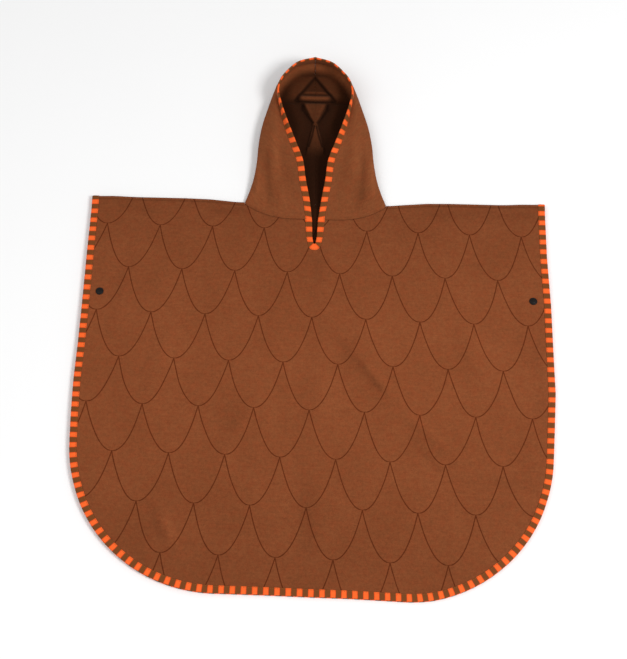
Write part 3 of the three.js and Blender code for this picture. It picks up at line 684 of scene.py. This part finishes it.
def neck_edge(across):
    """Middle points and normals of the hood's lower edge, which follows the panels' neck."""
    across = np.asarray(across, float)
    x = np.minimum(hood_mid([0.0], across)[0, :, 0], NECK_HALF - 0.4)
    y_roll, z_roll, radius = shoulder_roll(x + NECK_X)
    front = across < FOLD_STOP
    up = SEAM_GAP - np.where(front, neck_drop(x), back_neck_drop(x))
    z = np.where(front, front_mid(x + NECK_X, up + SHOULDER_Y), BACK_MID)
    mid = np.stack([x, up, z], axis=-1)
    normal = np.zeros_like(mid)
    normal[:, 2] = np.where(front, 1, -1)
    turn = (FOLD_STOP - across) * np.pi / 2
    direction = np.stack([0 * turn, np.cos(turn), np.sin(turn)], axis=-1)
    centre = np.stack([np.full(len(x), NECK_HALF - 0.4), y_roll - SHOULDER_Y, z_roll], axis=-1)
    rolled = ((across > FOLD_STOP - 1) & (across < FLOOR_STOP))[:, None]
    mid = np.where(rolled, centre + direction * radius[:, None], mid)
    return mid, np.where(rolled, direction, normal)


def hood_knots(along, across):
    """Middle points and normals of the hood's right half."""
    along, across = np.asarray(along, float), np.asarray(across, float)
    step, bit = 0.004, 0.03
    mid = hood_mid(along, across)
    ahead = hood_mid(np.minimum(along + step, 1), across)
    behind = hood_mid(np.maximum(along - step, 0), across)
    inward = hood_mid(along, np.minimum(across + bit, LAST_STOP))
    outward = hood_mid(along, np.maximum(across - bit, 0))
    normal = np.cross(inward - outward, ahead - behind)
    normal /= np.maximum(np.linalg.norm(normal, axis=-1, keepdims=True), 1e-9)
    weight = smoothstep(across, 4.7, 5.2)[None, :, None]
    normal = mix(normal, np.array([0, 0, -1.0]), weight)
    normal[along == 1, :, 0] = 0
    normal[:, across == LAST_STOP, 0] = 0
    if along[0] == 0:
        mid[0], normal[0] = neck_edge(across)
    normal /= np.maximum(np.linalg.norm(normal, axis=-1, keepdims=True), 1e-9)
    return mid, normal


def lean_x(up):
    return NECK_X - LEAN * np.maximum(up, 0)


def place_hood(points, side):
    placed = np.array(points)
    placed[..., 0] = side * placed[..., 0] + lean_x(placed[..., 1])
    placed[..., 1] += SHOULDER_Y
    return placed


def add_hood(name, side):
    across = np.concatenate([
        np.linspace(SETBACK / RIM_REACH, 1, 8)[:-1],
        np.linspace(1, 3, 26)[:-1],
        np.linspace(3, 5, 24)[:-1],
        np.linspace(5, 6, 88),
    ])
    along = np.linspace(0, 1, 176)
    mid, normal = hood_knots(along, across)
    half = mix(HALF_PRESSED, HALF_CLOTH, smoothstep(across, 1, 2))[None, :]
    length = np.zeros(mid.shape[:2])
    length[:, 1:] = np.cumsum(np.linalg.norm(np.diff(mid, axis=1), axis=-1), axis=1)
    rise = np.zeros(mid.shape[:2])
    rise[1:] = np.cumsum(np.linalg.norm(np.diff(mid, axis=0), axis=-1), axis=0)
    shade = hood_shade(mid[..., 0], mid[..., 1], across[None, :])
    # Painted light and shade on the hood's outside, following its flap waves
    light = HOOD_LIGHT + WAVE_LIGHT * flap_wave(mid[..., 0], mid[..., 1])
    cut = np.stack([side * length, rise, light], axis=-1)
    inner_cut = np.stack([side * length, rise, shade], axis=-1)
    mid = place_hood(mid, side)
    normal = normal * np.array([side, 1, 1])

    def limit(points):
        seam = lean_x(points[..., 1] - SHOULDER_Y) + side * VISIBLE_SEAM_HALF_GAP
        clip = np.maximum if side > 0 else np.minimum
        points[..., 0] = clip(points[..., 0], seam)
        points[..., 2] = np.maximum(points[..., 2], 0)
        return points

    half = np.broadcast_to(half, mid.shape[:2])
    if side < 0:
        mid, normal, half, cut = mid[::-1], normal[::-1], half[::-1], cut[::-1]
        inner_cut = inner_cut[::-1]
    return add_shell(name, mid, normal, half, cut, limit, inner_cut)


# Bindings

# Section: share of the outer leg's width or a distance in, and height
OUTER_LEG = [(1.0, 0.74), (1.0, 1.12), (0.96, 1.32), (0.88, 1.2), (0.78, 1.4), (0.55, 1.5), (0.3, 1.5)]
TURNED = [
    (1.4, 1.46), (0.7, 1.24), (0.22, 0.8), (0, 0.28), (0, -0.28), (0.22, -0.8), (0.7, -1.24),
    (1.4, -1.46), (2.6, -1.46), (3.2, -1.2), (3.2, -0.74), (0.9, -0.74), (0.9, 0.74),
]


EDGE_STEP = 2.5


def binding_section(reach):
    return np.array([(share * reach, h) for share, h in OUTER_LEG] + TURNED)


# Stitches along the groove of the strip: length, pitch, half width and places on the section
STITCH_LENGTH, STITCH_PITCH, STITCH_HALF = 2.5, 3.3, 0.26
GROOVE, MID_LEG = 3, 5
STITCH_SIDES = 6
# Rings of one stitch: place along it and thickness, as shares
STITCH_RINGS = [(-0.5, 0.15), (-0.4, 0.7), (-0.2, 1.0), (0.2, 1.0), (0.4, 0.7), (0.5, 0.15)]


def stitch_row(rings):
    """Points and faces of a row of stitches round a closed loop of rings."""
    line = rings[:, GROOVE]
    ahead = np.roll(line, -1, axis=0) - line
    across = rings[:, MID_LEG] - line
    outward = np.cross(ahead, across)
    outward *= np.sign((outward * (line - rings.mean(axis=1))).sum(axis=1, keepdims=True))
    lengths = np.linalg.norm(ahead, axis=1)
    reach = np.concatenate([[0], np.cumsum(lengths)])
    closed = np.concatenate([line, line[:1]])
    number = int(reach[-1] / STITCH_PITCH)
    points, faces = [], []
    for k in range(number):
        start = (k + 0.2) * reach[-1] / number
        ends = [
            np.array([np.interp(start + part, reach, closed[:, axis]) for axis in range(3)])
            for part in (0, STITCH_LENGTH)
        ]
        near = min(int(np.searchsorted(reach, start)), len(line)) - 1
        up = outward[near] / max(np.linalg.norm(outward[near]), 1e-9)
        side = np.cross(up, ends[1] - ends[0])
        side /= max(np.linalg.norm(side), 1e-9)
        base = len(points)
        for place, share in STITCH_RINGS:
            centre = mix(ends[0], ends[1], place + 0.5) + up * 0.12 * share
            for turn in np.linspace(0, 2 * math.pi, STITCH_SIDES, endpoint=False):
                radius = STITCH_HALF * share
                points.append(centre + radius * (side * math.cos(turn) + up * math.sin(turn)))
        for i in range(len(STITCH_RINGS) - 1):
            for j in range(STITCH_SIDES):
                a, b = base + i * STITCH_SIDES + j, base + i * STITCH_SIDES + (j + 1) % STITCH_SIDES
                faces.append((a, b, b + STITCH_SIDES, a + STITCH_SIDES))
        faces.append(tuple(range(base + STITCH_SIDES - 1, base - 1, -1)))
        last = base + (len(STITCH_RINGS) - 1) * STITCH_SIDES
        faces.append(tuple(range(last, last + STITCH_SIDES)))
    return np.array(points), faces


def add_loop(name, rings, marks):
    """A closed loop of rings with its stitches. marks holds each ring's stripe number."""
    rings = settle(rings)
    count, size = rings.shape[:2]
    at = np.arange(count * size).reshape(count, size)
    nxt = np.roll(at, -1, axis=0)
    faces = np.stack(
        [at, nxt, np.roll(nxt, -1, axis=1), np.roll(at, -1, axis=1)], axis=-1
    ).reshape(-1, 4)
    cut = np.zeros((count, size, 3))
    cut[..., 0] = np.asarray(marks)[:, None]
    stitches, stitch_faces = stitch_row(rings)
    thread = np.zeros_like(stitches)
    thread[:, 2] = 1
    base = count * size
    faces = faces.tolist() + [tuple(base + at for at in face) for face in stitch_faces]
    points = np.concatenate([rings.reshape(-1, 3), stitches])
    return add_mesh(name, points, faces, np.concatenate([cut.reshape(-1, 3), thread]))


def edge_path(step):
    """Stations from the right shoulder down, along the hem and up to the left shoulder."""
    corner_y, corner_x = HEM_Y + CORNER, HALF_WIDTH - CORNER
    top = float(roll_y(HALF_WIDTH))
    quarter = CORNER * math.pi / 2
    down = np.linspace(0, 1, int((top - corner_y) / step), endpoint=False)
    bend = np.linspace(0, math.pi / 2, int(quarter / step), endpoint=False)
    run = np.linspace(0, 1, int(2 * corner_x / step) // 2, endpoint=False)
    x = [HALF_WIDTH + 0 * down, corner_x + CORNER * np.cos(bend), mix(corner_x, 0, run)]
    y = [mix(top, corner_y, down), corner_y - CORNER * np.sin(bend), HEM_Y + 0 * run]
    turn = [0 * down, bend, math.pi / 2 + 0 * run]
    mark = [corner_x + quarter + y[0] - corner_y, corner_x + quarter - CORNER * bend, x[2]]
    x, y, turn, mark = (np.concatenate(part) for part in (x, y, turn, mark))
    x = np.concatenate([x, [0], -x[::-1]])
    y = np.concatenate([y, [HEM_Y], y[::-1]])
    turn = np.concatenate([turn, [math.pi / 2], math.pi - turn[::-1]])
    mark = np.concatenate([mark, [0], -mark[::-1]])
    return x, y, turn, mark


def add_edge_binding(name):
    x, y, turn, mark = edge_path(EDGE_STEP)
    section = binding_section(BINDING_WIDTH)
    rings, marks = [], []

    def flat(i, z, outward):
        inward = section[:, 0]
        return np.stack([
            x[i] - inward * math.cos(turn[i]),
            y[i] + inward * math.sin(turn[i]),
            z + outward * section[:, 1],
        ], axis=-1)

    def rolled(side, angle):
        roll, z, radius = (float(v) for v in shoulder_roll(np.array(side * HALF_WIDTH)))
        a = math.radians(angle)
        out = radius + section[:, 1]
        return np.stack([
            side * (HALF_WIDTH - section[:, 0]), roll + out * math.cos(a), z + out * math.sin(a)
        ], axis=-1)

    number = stretch(EDGE_STRIPES, mark)
    turns = list(range(80, -81, -10))
    for i in range(len(x)):
        rings.append(flat(i, FRONT_BOUND_MID, 1))
        marks.append(number[i])
    for k, angle in enumerate(turns):
        rings.append(rolled(-1, angle))
        marks.append(number[-1] - 0.03 * (k + 1))
    for i in reversed(range(len(x))):
        rings.append(flat(i, BACK_BOUND_MID, -1))
        marks.append(number[i] + 0.35)
    for k, angle in enumerate(turns):
        rings.append(rolled(1, -angle))
        marks.append(number[0] + 0.35 - 0.02 * (k + 1))
    rings = np.array(rings)
    rings[..., 2] = np.maximum(rings[..., 2], 0)
    return add_loop(name, rings, marks)


def rim_number(x, up):
    return np.where(
        up > CROWN_UP, table(CROWN_STRIPES, np.abs(x)), table(RIM_STRIPES, up)
    )


def opening_rings(side):
    """Rings up one side of the slit and of the hood's rim, with their stripe numbers."""
    foot = np.array([(gx, gu, ox, ou) for gx, gu, ox, ou in SLIT_FOOT], float)
    slit = np.array([(gap, up, outer, up) for up, gap, outer in SLIT], float)
    lines = np.concatenate([foot, slit, [(4.6, -33.7, 15.1, -33.7)]])
    spread = catmull(
        np.concatenate([lines[:, :2], lines[:, :1] * 0], axis=1), np.linspace(0, 1, 40)
    ), catmull(np.concatenate([lines[:, 2:], lines[:, :1] * 0], axis=1), np.linspace(0, 1, 40))
    rings, marks = [], []
    for inner, outer in zip(spread[0][:-1], spread[1][:-1]):
        reach = float(np.linalg.norm(outer - inner))
        section = binding_section(reach)
        share = section[:, 0] / reach
        plan = inner[None, :2] + (outer - inner)[None, :2] * share[:, None]
        rings.append(np.stack([
            NECK_X + side * plan[:, 0], SHOULDER_Y + plan[:, 1], SLIT_MID + section[:, 1]
        ], axis=-1))
        marks.append(float(table(FOOT_STRIPES, outer[1])))
    section = binding_section(BINDING_WIDTH)
    along = np.linspace(0, 1, 150)
    inward, order = np.unique(section[:, 0], return_inverse=True)
    mid, normal = hood_knots(along, inward / RIM_REACH)
    mid[-1, :, 0] = 0
    mid, normal = mid[:, order], normal[:, order]
    ring = mid + normal * section[:, 1][None, :, None]
    edge_line = hood_mid(along, [0.0])[:, 0]
    number = rim_number(edge_line[:, 0], edge_line[:, 1])
    rings += list(place_hood(ring, side))
    marks += list(number)
    return np.array(rings), np.array(marks)


def add_opening_binding(name):
    right, right_marks = opening_rings(1)
    left, left_marks = opening_rings(-1)
    rings = np.concatenate([right, left[1:-1][::-1]])
    marks = np.concatenate([right_marks, left_marks[1:-1][::-1]])
    return add_loop(name, rings, marks)


# Snap caps

# Radius and height of a cap above the face it sits on
CAP_PROFILE = [
    (1.2, -1.66), (1.2, 0.3), (5.6, 0.3), (5.95, 0.5), (6.0, 0.8), (5.85, 1.15), (5.4, 1.5), (4.6, 1.72),
    (4.1, 1.66), (3.8, 1.5), (3.5, 1.66), (2.8, 1.98), (1.6, 2.2), (0.6, 2.28),
]
BACK_PROFILE = [
    (1.2, -1.4), (1.2, 0.3), (5.6, 0.3), (5.95, 0.45), (6.0, 0.7), (5.8, 0.95), (5.3, 1.12), (4.4, 1.2),
    (1.6, 1.2), (0.6, 1.2),
]
CAP_SIDES = 48


def add_cap(name, centre, face, outward, profile):
    rings = []
    for k in range(CAP_SIDES):
        turn = 2 * math.pi * k / CAP_SIDES * outward
        rings.append([
            (centre[0] + r * math.cos(turn), centre[1] + r * math.sin(turn), face + outward * h)
            for r, h in profile
        ])
    rings = np.array(rings)
    size = len(profile)
    at = np.arange(CAP_SIDES * size).reshape(CAP_SIDES, size)
    nxt = np.roll(at, -1, axis=0)
    corners = [at[:, :-1], nxt[:, :-1], nxt[:, 1:], at[:, 1:]]
    faces = np.stack([c.ravel() for c in corners], axis=1).tolist()
    faces.append(at[::-1, 0].tolist())
    faces.append(at[:, -1].tolist())
    return add_mesh(name, rings.reshape(-1, 3), faces)


# Materials


def linear(*rgb):
    share = np.array(rgb) / 255
    value = np.where(share <= 0.04045, share / 12.92, ((share + 0.055) / 1.055) ** 2.4)
    return (*value.tolist(), 1.0)


class Maths:
    """A socket that sums, products and other functions can be written with."""

    def __init__(self, tree, socket):
        self.tree, self.socket = tree, socket

    def do(self, kind, *others):
        node = self.tree.nodes.new("ShaderNodeMath")
        node.operation = kind
        for at, value in enumerate((self, *others)):
            if isinstance(value, Maths):
                self.tree.links.new(value.socket, node.inputs[at])
            else:
                node.inputs[at].default_value = value
        return Maths(self.tree, node.outputs[0])

    def __add__(self, other):
        return self.do("ADD", other)

    def __sub__(self, other):
        return self.do("SUBTRACT", other)

    def __mul__(self, other):
        return self.do("MULTIPLY", other)

    def __truediv__(self, other):
        return self.do("DIVIDE", other)

    def smooth(self, low, high):
        node = self.tree.nodes.new("ShaderNodeMapRange")
        node.interpolation_type = "SMOOTHSTEP"
        node.inputs["From Min"].default_value = low
        node.inputs["From Max"].default_value = high
        self.tree.links.new(self.socket, node.inputs["Value"])
        return Maths(self.tree, node.outputs["Result"])


class Paint:
    """A material with its shader and the nodes that feed it."""

    def __init__(self, name, roughness, sheen=0.0, glint=0.15):
        self.material = bpy.data.materials.new(name)
        self.material.use_nodes = True
        self.tree = self.material.node_tree
        self.shader = self.tree.nodes["Principled BSDF"]
        self.shader.inputs["Roughness"].default_value = roughness
        self.shader.inputs["Specular IOR Level"].default_value = glint
        self.shader.inputs["Sheen Weight"].default_value = sheen
        self.shader.inputs["Sheen Roughness"].default_value = 0.5
        self.shader.inputs["Sheen Tint"].default_value = (0.9, 0.5, 0.3, 1)

    def place(self, name="cut"):
        node = self.tree.nodes.new("ShaderNodeAttribute")
        node.attribute_name = name
        split = self.tree.nodes.new("ShaderNodeSeparateXYZ")
        self.tree.links.new(node.outputs["Vector"], split.inputs[0])
        return node.outputs["Vector"], [Maths(self.tree, s) for s in split.outputs]

    def spot(self):
        node = self.tree.nodes.new("ShaderNodeTexCoord")
        return node.outputs["Object"]

    def noise(self, vector, scale, detail=3.0, rough=0.5, stretch=None):
        if stretch:
            mapping = self.tree.nodes.new("ShaderNodeMapping")
            mapping.inputs["Scale"].default_value = stretch
            self.tree.links.new(vector, mapping.inputs["Vector"])
            vector = mapping.outputs[0]
        node = self.tree.nodes.new("ShaderNodeTexNoise")
        node.inputs["Scale"].default_value = scale
        node.inputs["Detail"].default_value = detail
        node.inputs["Roughness"].default_value = rough
        self.tree.links.new(vector, node.inputs["Vector"])
        return Maths(self.tree, node.outputs["Fac"])

    def blend(self, share, first, second):
        node = self.tree.nodes.new("ShaderNodeMix")
        node.data_type = "RGBA"
        self.tree.links.new(share.socket, node.inputs["Factor"])
        for key, value in ((6, first), (7, second)):
            if isinstance(value, tuple):
                node.inputs[key].default_value = value
            else:
                self.tree.links.new(value, node.inputs[key])
        return node.outputs[2]

    def tint(self, colour, share):
        """The colour made lighter or darker by a share about 1."""
        node = self.tree.nodes.new("ShaderNodeVectorMath")
        node.operation = "SCALE"
        if isinstance(colour, tuple):
            node.inputs[0].default_value = colour[:3]
        else:
            self.tree.links.new(colour, node.inputs[0])
        self.tree.links.new(share.socket, node.inputs["Scale"])
        return node.outputs[0]

    def finish(self, colour, height=None, distance=0.0002, strength=0.6):
        self.tree.links.new(colour, self.shader.inputs["Base Color"])
        if height is not None:
            bump = self.tree.nodes.new("ShaderNodeBump")
            bump.inputs["Distance"].default_value = distance
            bump.inputs["Strength"].default_value = strength
            self.tree.links.new(height.socket, bump.inputs["Height"])
            self.tree.links.new(bump.outputs[0], self.shader.inputs["Normal"])
        return self.material


LINE_HALF = 0.8


def knit(paint, vector, x, y):
    """Fine ribs and courses of the cotton, and its uneven surface."""
    wander = paint.noise(vector, 0.02, 2.0)
    ribs = (x * (2 * math.pi / 1.3) + wander * 3.0).do("SINE")
    courses = (y * (2 * math.pi / 1.6)).do("SINE")
    fine = paint.noise(vector, 0.8, 2.0)
    slubs = paint.noise(vector, 0.5, 2.0, 0.5, (0.12, 1.0, 1.0))
    height = ribs * courses * 0.25 + fine * 0.8 + slubs * 0.9
    blots = paint.noise(vector, 0.22, 3.0, 0.6)
    shade = fine * 0.6 + slubs * 0.22 + blots * 0.5 + 0.34
    return height, shade


def cloth_material(name, base, light, ruddy, printed):
    paint = Paint(name, 0.9, 0.06, 0.05)
    vector, (x, y, kept) = paint.place()
    height, shade = knit(paint, vector, x, y)
    cloudy = paint.noise(vector, 0.012, 3.0)
    colour = paint.blend(cloudy.smooth(0.3, 0.7), base, light)
    warm = paint.noise(vector, 0.09, 3.0, 0.6)
    colour = paint.blend(warm.smooth(0.35, 0.7) * 0.45, colour, ruddy)
    if printed:
        wander = paint.noise(vector, 0.02, 2.0) * 1.2 - 0.6
        px, py = x + wander, (y + wander) * -1 + SCALE_TOP_UP
        row = py / SCALE_HEIGHT
        number = row.do("FLOOR")
        depth = row - number
        odd = (number * 0.5).do("FRACT") * 2.0
        spot = (px - odd * (SCALE_WIDTH / 2)) / SCALE_WIDTH + 0.5
        side = (spot.do("FRACT") - 0.5) * 2.0
        square = side * side
        pointed = 1 - BOW_ROUND
        curve = (square * BOW_ROUND + square * square * pointed) * -1.0 + 1.0
        bend = side * (2 * BOW_ROUND) + square * side * (4 * pointed)
        slope = bend * (2 / SCALE_WIDTH)
        steep = (slope * slope + (1 / SCALE_HEIGHT) ** 2).do("SQRT")
        apart = (depth - curve).do("ABSOLUTE") / steep
        line = apart.smooth(LINE_HALF - 0.35, LINE_HALF + 0.35) * -1.0 + 1.0
        patchy = paint.noise(vector, 0.3, 2.0) * 0.3 + 0.72
        colour = paint.blend(line * patchy, colour, linear(84, 34, 10))
    # The colour is darkened by the random tone and by the painted light and shade that the mesh carries
    return paint.finish(paint.tint(colour, shade * kept), height, 0.00018, 0.5)


def strip_material(name):
    paint = Paint(name, 0.75, 0.05)
    _, (number, _, sewn) = paint.place()
    spot = paint.spot()
    waver = paint.noise(spot, 400.0, 2.0) * 0.05 - 0.025
    share = (number + waver + 0.5).do("FRACT") - 0.5
    away = share.do("ABSOLUTE")
    brown = away.smooth(0.23, 0.27)
    threads = paint.noise(spot, 1600.0, 2.0)
    grain = paint.noise(spot, 260.0, 2.0)
    orange = paint.blend(away.smooth(0.15, 0.22), linear(243, 100, 38), linear(226, 78, 24))
    colour = paint.blend(brown, orange, linear(112, 62, 24))
    colour = paint.blend(sewn, colour, linear(150, 84, 38))
    shade = threads * 0.28 + grain * 0.2 + 0.76
    height = threads * 0.6 + grain * 0.6 + brown * -0.3
    return paint.finish(paint.tint(colour, shade), height, 0.0003, 0.6)


def plastic_material(name):
    paint = Paint(name, 0.5)
    spot = paint.spot()
    scuff = paint.noise(spot, 900.0, 4.0)
    shade = scuff * 0.5 + 0.75
    return paint.finish(paint.tint(linear(22, 18, 17), shade), scuff, 0.00005, 0.3)


RUDDY = linear(130, 63, 34)
body_paint = cloth_material("body_cotton", linear(124, 68, 38), linear(130, 72, 41), RUDDY, True)
hood_paint = cloth_material("hood_cotton", linear(123, 69, 39), linear(129, 73, 42), RUDDY, False)
strip_paint = strip_material("striped_strip")
plastic_paint = plastic_material("snap_plastic")


# Pieces


def carry(piece, node, paint):
    piece.data.materials.append(paint)
    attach(piece, "root")
    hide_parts(node)
    return piece


front = carry(add_panel("front_cloth", True), "body_front", body_paint)
back = carry(add_panel("back_cloth", False), "body_back", body_paint)
hood_r = carry(add_hood("hood_right_cloth", 1), "hood_right", hood_paint)
hood_l = carry(add_hood("hood_left_cloth", -1), "hood_left", hood_paint)
edge = carry(add_edge_binding("edge_strip"), "binding_edge", strip_paint)
rim = carry(add_opening_binding("opening_strip"), "binding_opening", strip_paint)

FRONT_FACE, BACK_FACE = FRONT_BOUND_MID + HALF_PRESSED, BACK_BOUND_MID - HALF_PRESSED
for word in ("left", "right"):
    for kind, face, outward, profile in (
        ("cap", FRONT_FACE, 1, CAP_PROFILE), ("back_cap", BACK_FACE, -1, BACK_PROFILE)
    ):
        node = f"snap_{word}_{kind}"
        low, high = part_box(node)
        centre = [500 * (a + b) for a, b in zip(low, high)]
        cap = add_cap(f"{node}_turned", centre, face, outward, profile)
        carry(cap, node, plastic_paint)
    for kind in ("socket", "stud"):
        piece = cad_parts[f"snap_{word}_{kind}"]
        piece.data.materials.clear()
        piece.data.materials.append(plastic_paint)

# Floor, camera and light


FLOOR_HALF, FLOOR_Z = 4000.0, -0.6


def add_floor():
    corners = [(-1, -1), (1, -1), (1, 1), (-1, 1)]
    points = [(FLOOR_HALF * x, FLOOR_HALF * y, FLOOR_Z) for x, y in corners]
    floor = add_mesh("floor", points, [(0, 1, 2, 3)])
    paint = Paint("pale_floor", 0.9)
    spot = paint.spot()
    shade = paint.noise(spot, 6.0, 2.0) * 0.01 + 0.99
    paint.finish(paint.tint((0.93, 0.93, 0.93, 1.0), shade))
    floor.data.materials.append(paint.material)
    floor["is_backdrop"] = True


TILT = math.radians(24)
DISTANCE = 2.081
ROLL = math.radians(1.456)
FOCUS_PIXELS, PICTURE_HEIGHT, SENSOR = 1392.9, 659, 36.0
AIM = Vector((-0.0037, -0.0298, 0))


def add_camera():
    back_axis = Vector((0, -math.sin(TILT), math.cos(TILT)))
    across = Vector((1, 0, 0))
    upward = back_axis.cross(across)
    right = across * math.cos(ROLL) + upward * math.sin(ROLL)
    up = upward * math.cos(ROLL) - across * math.sin(ROLL)
    camera = bpy.data.objects.new("camera", bpy.data.cameras.new("camera"))
    camera.data.lens = FOCUS_PIXELS * SENSOR / PICTURE_HEIGHT
    camera.data.sensor_width = SENSOR
    camera.data.sensor_fit = "AUTO"
    axes = Matrix((right, up, back_axis)).transposed().to_4x4()
    camera.matrix_world = Matrix.Translation(AIM + back_axis * DISTANCE) @ axes
    bpy.context.scene.collection.objects.link(camera)
    bpy.context.scene.camera = camera


WORLD_LIGHT = 0.55


def add_light(name, place, size, power):
    """A square lamp that faces the origin."""
    lamp = bpy.data.lights.new(name, "AREA")
    lamp.size, lamp.energy = size, power
    lit = bpy.data.objects.new(name, lamp)
    lit.location = place
    lit.rotation_euler = (-Vector(place)).to_track_quat("-Z", "Y").to_euler()
    bpy.context.scene.collection.objects.link(lit)


add_floor()
add_camera()
add_light("key", (1.7, -0.9, 2.2), 0.9, 50)
add_light("fill", (-1.8, -0.6, 2.4), 2.0, 20)

scene = bpy.context.scene
world = bpy.data.worlds.new("studio")
world.use_nodes = True
background = world.node_tree.nodes["Background"]
background.inputs["Color"].default_value = (1, 1, 1, 1)
background.inputs["Strength"].default_value = WORLD_LIGHT
scene.world = world
scene.view_settings.view_transform = "Standard"

low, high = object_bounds()
